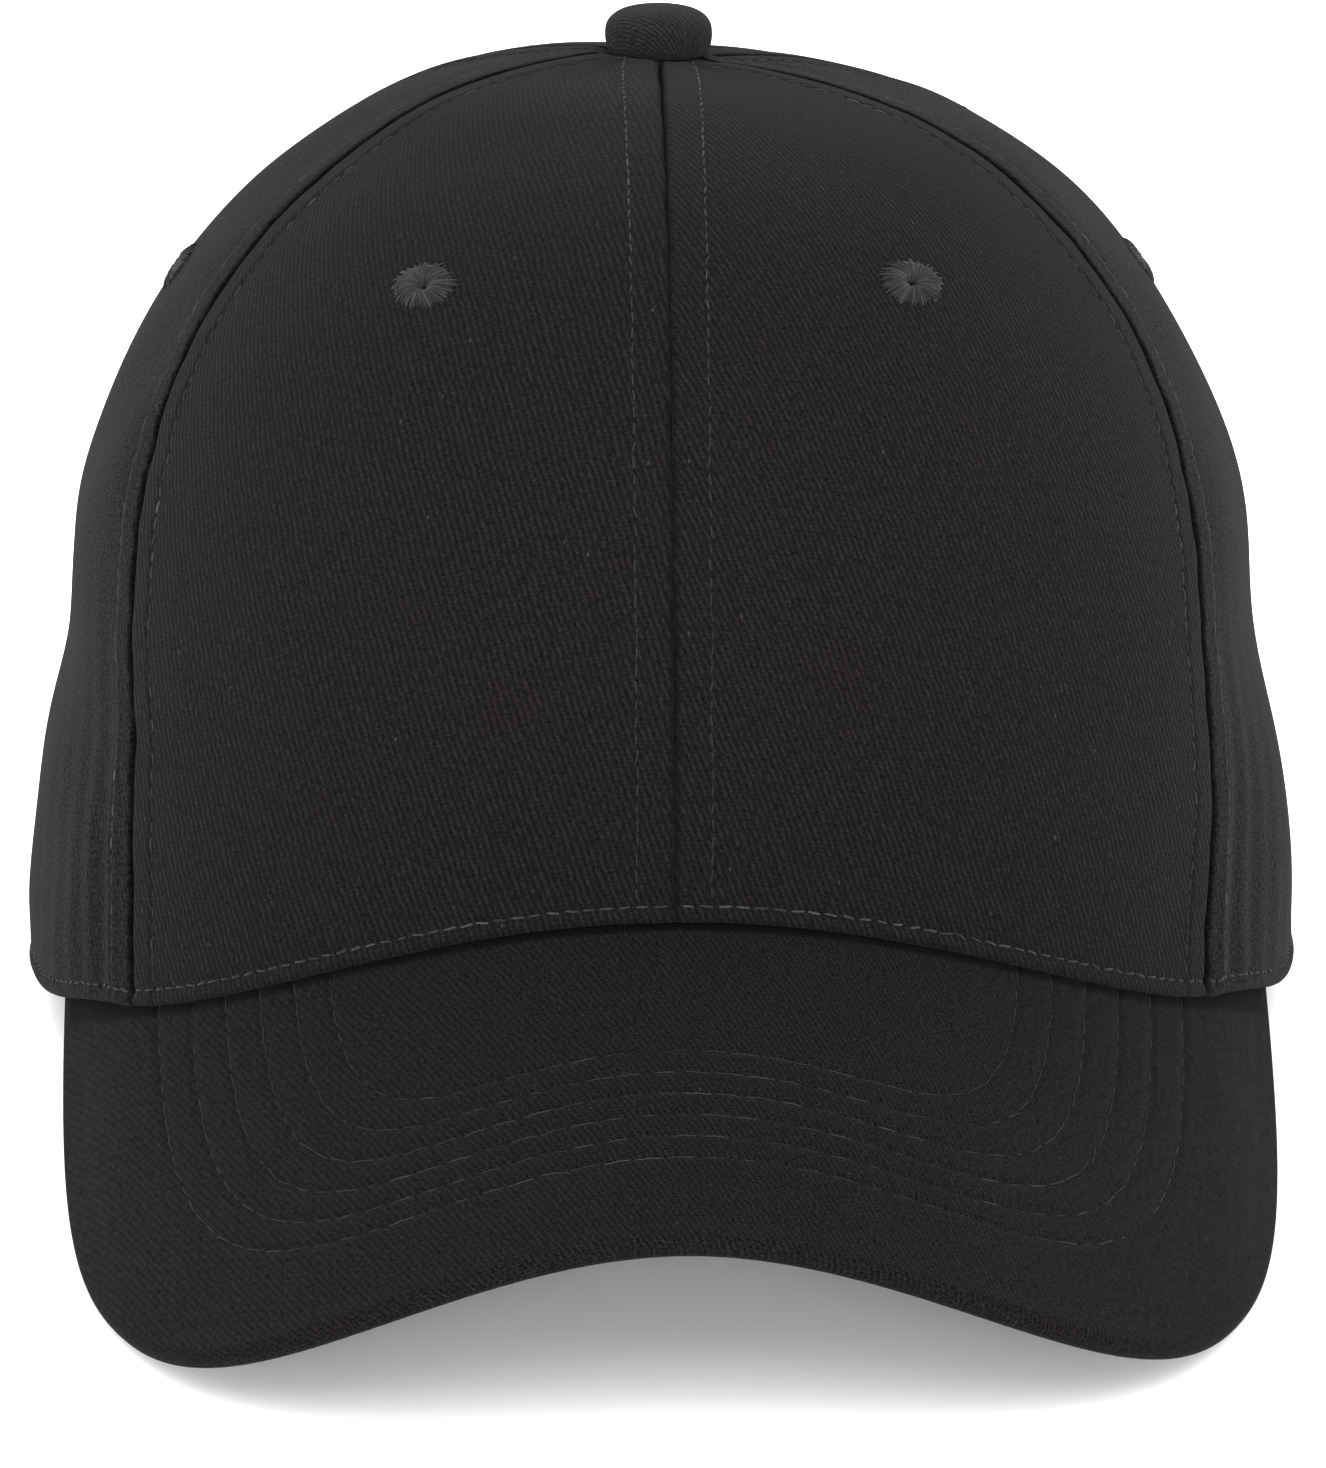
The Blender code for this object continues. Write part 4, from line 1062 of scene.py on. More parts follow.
def rear_columns():
    """Columns of a rear panel between its crowded edges, closer together where the arch is steep."""
    span = HALF_TURN - REAR_SEAM
    hem = np.linspace(0, (span - OPENING_HALF_ANGLE) / span - 0.003, 24)[1:]
    arch = 1 - OPENING_HALF_ANGLE * np.cos(np.linspace(0, RIGHT_ANGLE, 38))[1:-4] / span
    columns = (np.concatenate([hem, arch]) - 0.07) / 0.86
    return np.sort(columns[(columns > 0.01) & (columns < 0.99)])


EVEN_COLUMNS = np.linspace(0, 1, 54)[1:-1]
PANEL_SHAPES = {
    "front": dict(bottom=hem_height, interior=EVEN_COLUMNS, seams=("centre", "front")),
    "side": dict(bottom=hem_height, interior=EVEN_COLUMNS, seams=("front", "rear")),
    "rear": dict(bottom=rear_bottom, interior=rear_columns(), seams=("rear", "rear")),
}
PANEL_RELIEF = {
    "front": dict(softness=0.00010, folds=0.0),
    "side": dict(softness=0.00030, folds=0.00065),
    "rear": dict(softness=0.00030, folds=0.0003),
}
SEAMS = {
    "right": (mirrored_centre_seam, right_front_seam, rear_seam, back_seam),
    "left": (centre_seam, left_front_seam, rear_seam, back_seam),
}


def make_panels():
    panels = {}
    for side, sign in SIDES_OF_CAP:
        for number, (kind, shape) in enumerate(PANEL_SHAPES.items()):
            panel = Panel(*SEAMS[side][number : number + 2], sign, **shape)
            lift = panel.lift(**PANEL_RELIEF[kind], seed=11 + len(panels))
            panel.outer = panel.surface + panel.normal * lift[..., None]
            depth = np.maximum(PANEL_THICKNESS, LEAST_THICKNESS - lift)
            inner = panel.surface - panel.normal * depth[..., None]
            panel.cloth = cloth_sheet(f"{kind}_panel_{side}", panel.outer, inner, panel.flat, kind, "twill")
            panels[kind, side] = panel
    return panels


def topstitch_panel(sewing, panel, tones, seed):
    """Rows beside both seams of a panel, from above its hem to under the button, bright at the top."""
    values = np.concatenate([panel.outer, panel.normal, join(panel.radius, panel.from_bottom)], -1)
    for way, distance, low_tone in zip((1, -1), panel.from_seams, tones):
        spots = []
        for row in range(distance.shape[1]):
            away = np.maximum.accumulate(distance[::way, row])
            if away[-1] >= TOPSTITCH:
                spots.append(along_path(values[::way, row], away, TOPSTITCH))
        spots = np.array(spots)
        clear = (spots[:, 6] >= BUTTON_RADIUS) & (spots[:, 7] >= HEM_STITCH + ROW_CLEARANCE)
        path, normals = spots[clear, :3], spots[clear, 3:6]
        pale = mix(low_tone, max(low_tone, TOP_ROW_TONE), between(path[:, 2], TOP_TONE_RISE))
        pale = pale * (1 + 0.5 * ripple(path, 0.02, seed + way))
        sewing.row(path, normals, CROWN_PITCH, pale=pale)


def hem_stitch_panel(sewing, holes, panel):
    """The row that follows a panel's bottom edge, and near-black discs between its stitches, a painted shade
    for the needle holes.
    """
    values = np.concatenate([panel.outer, panel.normal], -1)
    from_seam = np.minimum(panel.from_first, panel.from_second)[:, 0]
    spots = [
        along_path(values[column], panel.from_bottom[column], HEM_STITCH)
        for column in np.flatnonzero(from_seam >= SEAM_ROLL)
    ]
    path, normals = np.split(np.array(spots), 2, axis=1)
    pale = mix(*HEM_TONES, between(np.abs(path[:, 0]), HEM_TONE_FADE))
    sewing.row(path, normals, HEM_PITCH, HEM_THREAD_RADIUS, pale=pale)
    holes.row(path, normals, HEM_PITCH, NEEDLE_HOLE / 2, gap=HEM_PITCH - NEEDLE_HOLE, shift=0.5)


def sew_panels(panels):
    sewing = Stitches(3)
    # near-black discs: painted shade inside the hem's needle holes
    holes = Stitches(5)
    for number, ((kind, _), panel) in enumerate(panels.items()):
        topstitch_panel(sewing, panel, ROW_TONES[kind], 60 + 3 * number)
        hem_stitch_panel(sewing, holes, panel)
    sewing.make("crown_stitching", "thread")
    holes.make("hem_needle_holes", "needle_hole_shadow")


# Brim covers


def brim_columns():
    """Plan points of the tucked inner edge and of the outer edge, side by side."""
    share = np.linspace(-1, 1, BRIM_COLUMNS)
    turn = share * BRIM_CLOTH_END
    inner = join(TUCKED_RADIUS * np.sin(turn), -TUCKED_REACH * np.cos(turn))
    outer = brim_outline(share * math.atan2(BRIM_HALF_WIDTH, BRIM_CENTRE_Y - BRIM_CLOTH_END_Y))
    inward = unit(inner - outer)
    width = np.maximum(np.linalg.norm(outer - inner, axis=-1), BRIM_LEAST_WIDTH)
    return outer + inward * width[:, None], outer, inward


def brim_row_sizes(row):
    wide = BRIM_ROW_HALF_WIDTH - row * BRIM_ROW_STEP_SIDE
    deep = BRIM_ROW_FORWARD - row * BRIM_ROW_STEP_FRONT
    return wide, deep, BRIM_ROW_FULLNESS + row * BRIM_ROW_FULLNESS_STEP


def brim_row_distance(plan, row):
    """How far a plan point lies outside a stitch row, good near the row."""
    wide, deep, power = brim_row_sizes(row)
    across = np.abs(plan[..., 0]) / wide + 1e-6
    along = np.maximum(BRIM_CENTRE_Y - plan[..., 1], 1e-6) / deep
    level = (across**power + along**power) ** (1 / power)
    slope = np.hypot((across / level) ** (power - 1) / wide, (along / level) ** (power - 1) / deep)
    return (level - 1) / slope


def brim_row_path(row):
    """A stitch row in plan, from crown to crown round the brim."""
    wide, deep, power = brim_row_sizes(row)
    angle = np.linspace(-RIGHT_ANGLE, RIGHT_ANGLE, 1201)
    x = wide * np.sign(angle) * np.abs(np.sin(angle)) ** (2 / power)
    y = BRIM_CENTRE_Y - deep * np.abs(np.cos(angle)) ** (2 / power)
    clear = (x / CROWN_RADIUS) ** 2 + (y / FRONT_REACH) ** 2 > BRIM_ROW_START
    return join(x, y)[clear]


def bend_length(x):
    """The brim cloth's length across its bend, from the middle to a place x across."""
    slope = x / BRIM_BEND_RADIUS
    return BRIM_BEND_RADIUS / 2 * (slope * np.sqrt(1 + slope**2) + np.arcsinh(slope))


def brim_lip(stop, outer, way, angles):
    """The cover's rolled edge, as points and normals from the brim's face to its mid-thickness."""
    root = brim_point(stop, 0.0)
    middle = brim_point(stop, BRIM_THICKNESS / 2)
    up = unit(root - middle)
    ahead = brim_point(outer, 0.0) - root
    out = unit(ahead - up * (ahead * up).sum(-1, keepdims=True))
    normal = way * up[:, None] * np.cos(angles)[:, None] + out[:, None] * np.sin(angles)[:, None]
    return middle[:, None] + normal * BRIM_THICKNESS / 2, normal


def brim_cover(node, way, rows):
    """A cover over one face of the brim, the top if way is 1 and the underside if it is -1:
    quilted between its stitch rows and rolled over the edge."""
    inner, outer, inward = brim_columns()
    edge = BRIM_THICKNESS / 2
    stop = outer + inward * edge
    share = np.linspace(0, 1, rows)
    plan = mix(inner[:, None], stop[:, None], share[:, None])
    surface = brim_point(plan, edge * (1 - way))
    from_crown = share * np.linalg.norm(stop - inner, axis=-1)[:, None]
    inset = from_crown[:, -1:] - from_crown
    lift = BRIM_UNEVENNESS * ripple(surface, BRIM_UNEVENNESS_LENGTH, 5) * ease(inset / BRIM_EVEN_EDGE)
    for row in range(BRIM_ROWS):
        lift += BRIM_GROOVE_SHARE * groove(brim_row_distance(plan, row), BRIM_GROOVE_WIDTH)
    ridge = LIP_RIDGE if way > 0 else 0.0
    lift += ridge * (bell(inset, LIP_RIDGE_WIDTH) - bell(inset - LIP_GROOVE_INSET, LIP_GROOVE_WIDTH))
    angles = np.linspace(0, RIGHT_ANGLE - 0.02, LIP_ROWS)[1:]
    lip, lip_normal = brim_lip(stop, outer, way, angles)
    lip_lift = np.broadcast_to(ridge * np.cos(angles), lip.shape[:2])
    over = stop[:, None] - inward[:, None] * (angles * edge)[:, None]
    surface = np.concatenate([surface, lip], 1)
    normal = np.concatenate([way * brim_up(plan), lip_normal], 1)
    lift = np.concatenate([lift, lip_lift], 1)[..., None]
    x, y = np.moveaxis(np.concatenate([plan, over], 1), -1, 0)
    # painted shadow on the brim beside the crown, full where the cloth tucks under the hem and fading
    # further out, none on the lip
    sunk = np.concatenate([1 - between(from_crown, PAINTED_BRIM_SHADOW), np.zeros(lip.shape[:2])], 1)
    flat = join(bend_length(x) / MM, y / math.cos(BRIM_PITCH) / MM, sunk)
    under = surface - normal * (COVER_THICKNESS - np.minimum(lift, 0))
    cloth_sheet(node, surface + normal * lift, under, flat, "brim", "twill")


def sew_brim():
    sewing = Stitches(4)
    for row in range(BRIM_ROWS):
        plan = brim_row_path(row)
        up = brim_up(plan)
        across = np.abs(plan[:, 0])
        pale = mix(1.0, BRIM_END_TONE, between(across / across.max(), BRIM_TONE_FADE))
        for depth, way in ((STITCH_GROOVE, 1), (BRIM_THICKNESS - STITCH_GROOVE, -1)):
            path = brim_point(plan, depth)
            sizes = (BRIM_STITCH, BRIM_THREAD_RADIUS, BRIM_STITCH_GAP)
            sewing.row(path, up * way, *sizes, shares=TICKED_SHARES, pale=pale)
    sewing.make("brim_stitching", "brim_thread")


# Button


def weld(made):
    """Joins points that lie on each other, such as a wrapped sheet's two ends."""
    mesh = bmesh.new()
    mesh.from_mesh(made.data)
    bmesh.ops.remove_doubles(mesh, verts=mesh.verts, dist=0.000002)
    bmesh.ops.recalc_face_normals(mesh, faces=mesh.faces)
    mesh.to_mesh(made.data)
    mesh.free()


def button_cover():
    """Cloth gathered over the button's shell, tucked under its foot."""
    widest = BUTTON_RADIUS + BUTTON_SWELL
    middle = BUTTON_MIDDLE * BUTTON_HEIGHT
    power = 2 / BUTTON_FULLNESS
    angle = np.linspace(0, RIGHT_ANGLE, 40)
    share = np.linspace(0, 1, 9)[1:]
    rise = np.abs(np.cos(angle)) ** power
    dome = join(widest * np.sin(angle) ** power, mix(middle, BUTTON_HEIGHT, rise))
    wall = join(widest - BUTTON_TUCK * share**2, mix(middle, BUTTON_FOOT, share))
    profile = np.concatenate([dome, wall])
    radius = profile[:, :1]
    height = profile[:, 1:] + CROWN_HEIGHT + SEAT
    run = path_length(profile)[:, None]
    around = np.linspace(0, FULL_TURN, 145)
    gathers = np.sin(around * 17 + 0.6) + 0.6 * np.sin(around * 29 + 2.0)
    gathers = BUTTON_GATHER * ease(run / run[-1]) * gathers
    soft = BUTTON_SOFTNESS * np.sin(around * 3 + 1.0) * ease(radius / widest)
    ring = radius + np.where(radius > 0, gathers + soft, 0)
    lowered = height - BUTTON_CLOTH * mix(1.0, 0.2, ease(radius / widest))
    outer = polar(ring, around, height)
    inner = polar(np.maximum(ring - BUTTON_CLOTH, 0), around, lowered)
    flat = polar(run, around, 0.0) / MM
    weld(cloth_sheet("button_cover", outer, inner, flat, "button", "twill", drawn="button_cloth"))


# Eyelets

# The padded ring's radius and height, from its bore over the top and back
EYELET_PROFILE = MM * np.array(
    [(1.05, -1.0), (1.05, 0), (1.6, 0.36), (2.7, 0.44), (3.8, 0.26), (4.4, 0), (4.4, -0.35), (2.0, -0.35)]
    + [(1.8, -1.0), (3.0, -1.12), (3.0, -1.3), (1.05, -1.3)]
)
STRAND_SHARES = [0, 0.12, 0.3, 0.55, 0.82, 1.0]
STRAND_HEIGHTS = MM * np.array([-0.7, 0.1, 0.5, 0.52, 0.26, -0.22])


def eyelet_frame(kind, sign):
    """Centre and axes of an eyelet: along the crown's turn, up the crown and outwards."""
    turn = np.array(sign * EYELET_TURNS[kind])
    climb = climb_to(turn, CROWN_HEIGHT - EYELET_DROPS[kind])
    normal = crown_normal(turn, climb)
    level = unit(np.cross(np.array([0.0, 0.0, 1.0]), normal))
    return crown_surface(turn, climb), np.stack([level, np.cross(normal, level), normal])


def eyelet_threads(name, centre, axes, seed):
    """Satin stitches thrown from the hole outwards over a padded ridge."""
    draws = np.random.default_rng(seed)
    turns = np.arange(EYELET_STRANDS)[:, None]

    def vary(limits):
        return draws.uniform(*limits, EYELET_STRANDS)[:, None]

    angle = (turns + vary(EYELET_SPACING)) * (FULL_TURN / EYELET_STRANDS)
    slant = vary(EYELET_SLANT)
    start = EYELET_HOLE + vary(EYELET_HOLE_STRAY)
    finish = EYELET_RADIUS + vary(EYELET_RIM_STRAY)
    share = EVEN_SHARES
    arch = np.sin(math.pi * share)
    height = np.interp(share, STRAND_SHARES, STRAND_HEIGHTS) + vary(EYELET_PROUD) * arch
    path = centre + polar(mix(start, finish, share), angle + slant * share, height) @ (axes * EYELET_STRETCH)
    ahead = unit(np.gradient(path, axis=1))
    side = unit(np.cross(ahead, axes[2]))
    thick = EYELET_THREAD_RADIUS * mix(0.7, 1.0, arch)
    tone = draws.beta(0.8, 1.0, EYELET_STRANDS)[:, None, None]
    sewing = Stitches(0)
    flat = join(np.arange(SIDES), (share * 4 + angle * 9)[..., None], tone)
    sewing.add(ring_points(path, np.cross(side, ahead), side, thick), flat)
    sewing.make(name, "floss")


def eyelet_ring(node, centre, axes):
    """The padding under the stitches, a turned ring that lines the hole."""
    around = np.linspace(0, FULL_TURN, 40, endpoint=False)
    radius, height = EYELET_PROFILE[:, :1], EYELET_PROFILE[:, 1:]
    points = centre + polar(radius, around, height) @ (axes * EYELET_STRETCH)
    grid = np.arange(len(radius) * len(around)).reshape(len(radius), -1)
    after = np.roll(grid, -1, 0)
    quads = join(after, np.roll(after, -1, 1), np.roll(grid, -1, 1), grid).reshape(-1, 4)
    flat = join(around * 4, radius / MM)
    piece(f"{node}_ring", points.reshape(-1, 3), quads.tolist(), flat, "floss", node=node)


def carry_cloth(old, new):
    """Gives a cut mesh the cloth places of the nearest points of the mesh it came from."""
    places = np.zeros(len(old.vertices) * 3, np.float32)
    old.attributes["cloth"].data.foreach_get("vector", places)
    tree = KDTree(len(old.vertices))
    for vertex in old.vertices:
        tree.insert(vertex.co, vertex.index)
    tree.balance()
    nearest = [tree.find(vertex.co)[1] for vertex in new.vertices]
    if "cloth" in new.attributes:
        new.attributes.remove(new.attributes["cloth"])
    set_cloth(new, places.reshape(-1, 3)[nearest])


def drill_hole(target, centre, axes):
    """Cuts the eyelet's hole through a sheet."""
    steps = 24
    angle = np.arange(steps) * (FULL_TURN / steps)
    rims = [polar(EYELET_DRILL_RADIUS, angle, height) for height in (-DRILL_REACH, DRILL_REACH)]
    points = settle(centre + np.concatenate(rims) @ axes)
    faces = [[k, (k + 1) % steps, (k + 1) % steps + steps, k + steps] for k in range(steps)]
    faces += [list(range(steps))[::-1], list(range(steps, 2 * steps))]
    data = bpy.data.meshes.new("drill")
    data.from_pydata(points.tolist(), [], faces)
    cutter = bpy.data.objects.new("drill", data)
    bpy.context.scene.collection.objects.link(cutter)
    change = target.modifiers.new("hole", "BOOLEAN")
    change.operation = "DIFFERENCE"
    change.solver = "EXACT"
    change.object = cutter
    cut = bpy.data.meshes.new_from_object(target.evaluated_get(bpy.context.evaluated_depsgraph_get()))
    target.modifiers.clear()
    carry_cloth(target.data, cut)
    target.data = cut
    bpy.data.objects.remove(cutter)


def make_eyelets(panels):
    for number, (side, sign) in enumerate(SIDES_OF_CAP):
        for kind in EYELET_TURNS:
            node = f"eyelet_{kind}_{side}"
            centre, axes = eyelet_frame(kind, sign)
            eyelet_threads(f"{node}_threads", centre, axes, 40 + number * 3 + len(kind))
            eyelet_ring(node, centre, axes)
            drill_hole(panels[kind, side].cloth, centre, axes)


# Lining: buckram, seam tapes, sweatband and the binding of the rear opening


def crown_strip(node, turn, climb, depth, thickness, flat, look, slot, wave=0.0):
    """A sheet inside the crown, over grids of turn and climb."""
    surface = crown_surface(turn, climb)
    normal = crown_normal(turn, climb)
    depth = depth + wave * ripple(surface, TAPE_WAVE_LENGTH, 21)
    outer = surface - normal * depth[..., None]
    inner = surface - normal * (depth + thickness)[..., None]
    return cloth_sheet(node, outer, inner, flat, look, slot), inner, normal


def strip_thickness(places, thickness, edge, rows=(), sunk=(0.0, 1.0)):
    """A strip's thickness at places over its width, thinner at its rounded edges and stitch rows."""
    least, reach = edge
    share, width = sunk
    inset = np.clip(np.minimum(places - places.min(), places.max() - places) / reach, 0, 1)
    thin = thickness * mix(least, 1.0, np.sqrt(1 - (1 - inset) ** 2))
    for row in rows:
        thin = thin + share * groove(places - row, width)
    return thin


def seam_tape(sewing, node, seam, sign, bottom, lining_depth):
    """A strip sewn over a seam's inside with the topstitching's two rows."""
    low = climb_to(sign * seam(np.zeros(1)), bottom)[0]
    high = climb_at_radius(sign * seam(np.ones(1)), TAPE_TOP_RADIUS)[0]
    places = TAPE_PLACES[:, None]
    climb = np.linspace(low, high, 110) * np.ones_like(places)
    middle = seam(climb)
    turn = sign * (middle + np.arcsin(np.clip(places / plan_radius(middle, climb), -1, 1)))
    centre = len(places) // 2
    flat = join(places, path_length(crown_surface(turn[centre], climb[centre]))) / MM
    thickness = strip_thickness(places, TAPE_THICKNESS, TAPE_EDGE, (-TOPSTITCH, TOPSTITCH), TAPE_GROOVE)
    _, inner, normal = crown_strip(
        node, turn, climb, lining_depth, thickness, flat, "tape", "seam_tape", wave=TAPE_WAVE
    )
    for column in TAPE_ROWS:
        sewing.row(inner[column], -normal[column], CROWN_PITCH)


def above_sweatband(turn):
    return hem_height(np.array(turn)) + SWEATBAND_LIFT + SWEATBAND_HEIGHT + 2 * SEAT


def seam_tapes(sewing):
    arch_top = OPENING_HEIGHT + OPENING_TAPE_INSET + OPENING_TAPE_WIDTH + 2 * SEAT
    front_bottom = above_sweatband(FRONT_SEAM_BASE)
    rear_seam_bottom = above_sweatband(REAR_SEAM)
    seam_tape(sewing, "seam_tape_front", np.zeros_like, 1, above_sweatband(0.0), FRONT_LINING_DEPTH)
    for side, sign in SIDES_OF_CAP:
        node = f"seam_tape_front_{side}"
        seam_tape(sewing, node, straight_front_seam, sign, front_bottom, FRONT_LINING_DEPTH)
        node = f"seam_tape_rear_{side}"
        seam_tape(sewing, node, rear_seam, sign, rear_seam_bottom, REAR_LINING_DEPTH)
    seam_tape(sewing, "seam_tape_rear", back_seam, 1, arch_top, REAR_LINING_DEPTH)


def stiffener(side, sign):
    """Buckram behind a front panel."""
    share = np.linspace(0, 1, 44)[:, None]
    base = sign * FRONT_SEAM_BASE * share
    low = climb_to(base, hem_height(base) + STIFFENER_LIFT)
    high = climb_at_radius(sign * FRONT_SEAM_TOP * share, STIFFENER_TOP_RADIUS)
    climb = mix(low, high, np.linspace(0, 1, 70) ** 0.8)
    seam = straight_front_seam(climb)
    inset = STIFFENER_INSET / plan_radius(seam * share, climb)
    turn = sign * np.clip(seam * share, inset, seam - inset)
    x, y, z = np.moveaxis(crown_surface(turn, climb), -1, 0)
    flat = join(x + y * 0.6, z - y * 0.6) / MM
    node = f"front_stiffener_{side}"
    made, _, _ = crown_strip(
        node, turn, climb, STIFFENER_DEPTH, STIFFENER_THICKNESS, flat, "buckram", "buckram"
    )
    drill_hole(made, *eyelet_frame("front", sign))


panel_lean = CROWN_RADIUS - plan_radius(
    np.array(HALF_TURN - OPENING_HALF_ANGLE), climb_to(np.array(HALF_TURN), STRAP_TOP)
)
tab_outer = CROWN_RADIUS - panel_lean - PANEL_THICKNESS - SEAT
tab_inner = tab_outer - 2 * TAB_PLY
strap_outer = tab_inner - SEAT
strap_inner = strap_outer - STRAP_THICKNESS
pocket_depth = CROWN_RADIUS - strap_inner + SEAT


def sweatband(sewing):
    """A padded band round the inside of the hem, folded at its top and sewn along both edges."""
    end = HALF_TURN - OPENING_HALF_ANGLE - SWEATBAND_END_SETBACK
    places = BAND_PLACES
    turn = np.linspace(-end, end, 330)[:, None] * np.ones_like(places)
    climb = climb_to(turn, hem_height(turn) + SWEATBAND_LIFT + places)
    depth = mix(FRONT_LINING_DEPTH, pocket_depth, between(np.abs(turn), POCKET))
    swell = np.sin(math.pi * places / SWEATBAND_HEIGHT) ** 0.7
    rows = places[list(BAND_ROWS)]
    thin = strip_thickness(places, SWEATBAND_THICKNESS, BAND_EDGE, rows, BAND_GROOVE)
    surface = crown_surface(turn, climb)
    creases = BAND_CREASE * ripple(surface * BAND_CREASE_STRETCH, BAND_CREASE_LENGTH, 31)
    thickness = thin + SWEATBAND_PADDING * swell + creases * swell / swell.max()
    flat = join(path_length(surface[:, 0])[:, None], places) / MM
    _, inner, normal = crown_strip("sweatband", turn, climb, depth, thickness, flat, "band", "sweatband")
    for row in BAND_ROWS:
        sewing.row(inner[:, row], -normal[:, row], HEM_PITCH)


def rear_opening_tape(sewing):
    """The binding inside the arch of the rear opening."""
    stop = math.acos(((STRAP_TOP + OPENING_TAPE_CLEARANCE) / OPENING_HEIGHT) ** (OPENING_FULLNESS / 2))
    angle = np.linspace(-stop, stop, 150)[:, None]
    places = ARCH_TAPE_PLACES
    offset = OPENING_TAPE_INSET + places
    wide = OPENING_HALF_ANGLE + offset / CROWN_RADIUS
    turn = HALF_TURN - np.sign(angle) * wide * np.abs(np.sin(angle)) ** (2 / OPENING_FULLNESS)
    height = (OPENING_HEIGHT + offset) * np.cos(angle) ** (2 / OPENING_FULLNESS)
    climb = climb_to(HALF_TURN, height)
    rows = places[list(ARCH_TAPE_ROWS)]
    thickness = strip_thickness(places, TAPE_THICKNESS, TAPE_EDGE, rows, TAPE_GROOVE)
    flat = join(path_length(crown_surface(turn, climb)[:, 0])[:, None], places) / MM
    _, inner, normal = crown_strip(
        "rear_opening_tape", turn, climb, REAR_LINING_DEPTH, thickness, flat, "tape", "seam_tape"
    )
    for row in ARCH_TAPE_ROWS:
        sewing.row(inner[:, row], -normal[:, row], CROWN_PITCH)


def make_lining():
    sewing = Stitches(8)
    seam_tapes(sewing)
    for side, sign in SIDES_OF_CAP:
        stiffener(side, sign)
    sweatband(sewing)
    rear_opening_tape(sewing)
    sewing.make("lining_stitching", "thread")


# Closure


def round_rear(radius, angle, height):
    """Points round the crown's axis, the angle counted from the centre of the rear towards +x."""
    return join(radius * np.sin(angle), radius * np.cos(angle), height)


def closure_strap():
    """A folded strap, thinner at its edges and stitch rows."""
    angles = np.linspace(*STRAP_ENDS, 170)
    rows = STRAP_PLACES[list(STRAP_ROWS)]
    half = strip_thickness(STRAP_PLACES, STRAP_THICKNESS / 2, STRAP_EDGE, rows, STRAP_GROOVE)
    middle = (strap_outer + strap_inner) / 2
    height = STRAP_BOTTOM + STRAP_PLACES
    outer = round_rear(middle + half, angles[:, None], height)
    inner = round_rear(middle - half, angles[:, None], height)
    flat = join(angles[:, None] * middle, STRAP_PLACES) / MM
    cloth_sheet("closure_strap", outer, inner, flat, "strap", "twill", body="strap")
    sewing = Stitches(9)
    out = round_rear(1.0, angles, 0.0)
    for row in STRAP_ROWS:
        sewing.row(outer[:, row], out, HEM_PITCH)
        sewing.row(inner[:, row], -out, HEM_PITCH)
    sewing.make("strap_stitching", "thread", body="strap")


def buckle_tab():
    """A strip folded round the buckle's bar, its two plies sewn together beside the hem."""
    loop = BAR_HOLE + TAB_PLY / 2
    bar_place = strap_outer + SEAT + BAR_HOLE + TAB_PLY
    length = (BAR_ANGLE - TAB_END) * bar_place
    upper = tab_outer - TAB_PLY / 2 - bar_place
    start = math.asin(max(upper / loop, -1))
    arc = np.linspace(start, 3 * RIGHT_ANGLE, 48)
    away = np.linspace(length, loop * math.cos(start), 40)[:-1]
    back = np.linspace(0, length, 40)[1:]
    lines = [join(away, upper), join(loop * np.cos(arc), loop * np.sin(arc)), join(back, -loop)]
    path = np.concatenate(lines)[:, None]
    ahead = unit(np.gradient(path, axis=0))
    half = strip_thickness(STRAP_PLACES, TAB_PLY / 2 * TAB_PLY_SHARE, TAB_EDGE)
    skins = []
    for way in (1, -1):
        along = path[..., 0] + ahead[..., 1] * half * way
        out = path[..., 1] - ahead[..., 0] * half * way
        angle = BAR_ANGLE - along / bar_place
        skins.append(round_rear(bar_place + out, angle, STRAP_BOTTOM + STRAP_PLACES))
    flat = join(path_length(path[:, 0])[:, None], STRAP_PLACES) / MM
    cloth_sheet("buckle_tab", *skins, flat, "strap", "twill")
    low, high = STRAP_BOTTOM + STRAP_PLACES[list(STRAP_ROWS)]
    first, margin = TAB_ROW_ENDS
    reach = np.linspace(first, length - margin, 60)
    rows = [(reach, low), (reach, high), (np.full(40, first), np.linspace(low, high, 40))]
    sewing = Stitches(10)
    for reach, height in rows:
        angles = BAR_ANGLE - reach / bar_place
        sewing.row(round_rear(tab_outer, angles, height), round_rear(1.0, angles, 0.0), HEM_PITCH)
    sewing.make("tab_stitching", "thread")


# Metal and board: the solids' own shapes, with a look and the width of their softened edges
HARD_NODES = {
    "buckle_frame": ("buckle", 0.00018),
    "buckle_pin": ("buckle", 0.00012),
    "buckle_lever": ("buckle", 0.00022),
    "button_shell": ("rivet", 0.0001),
    "button_back": ("rivet", 0.0002),
    "brim_board": ("board", 0.0002),
}


def dress_hard_nodes():
    for node, (look, width) in HARD_NODES.items():
        solid = bpy.data.objects[node]
        for slot in solid.material_slots:
            slot.material = LOOKS[look]
        soften = solid.modifiers.new("softened_edges", "BEVEL")
        soften.width = width
        soften.segments = 2
        soften.limit_method = "ANGLE"
        soften.angle_limit = math.radians(40)


# Camera, lights and floor: pixels are counted in the photograph from its top left
IMAGE = (1326, 1468)
TARGET = REST @ Vector((0, 0, 0.067))
TARGET_PIXEL = (659.7, 461.8)
FOCAL_PIXELS = 14066.6
VIEW_ELEVATION = math.radians(11.87)
VIEW_AZIMUTH = math.radians(-1.1)
VIEW_DISTANCE = 2.040
FLOOR_REACH = 6.0
WORLD_STRENGTH = 1.95
LIGHT_AIM = Vector((0, 0, 0.05))


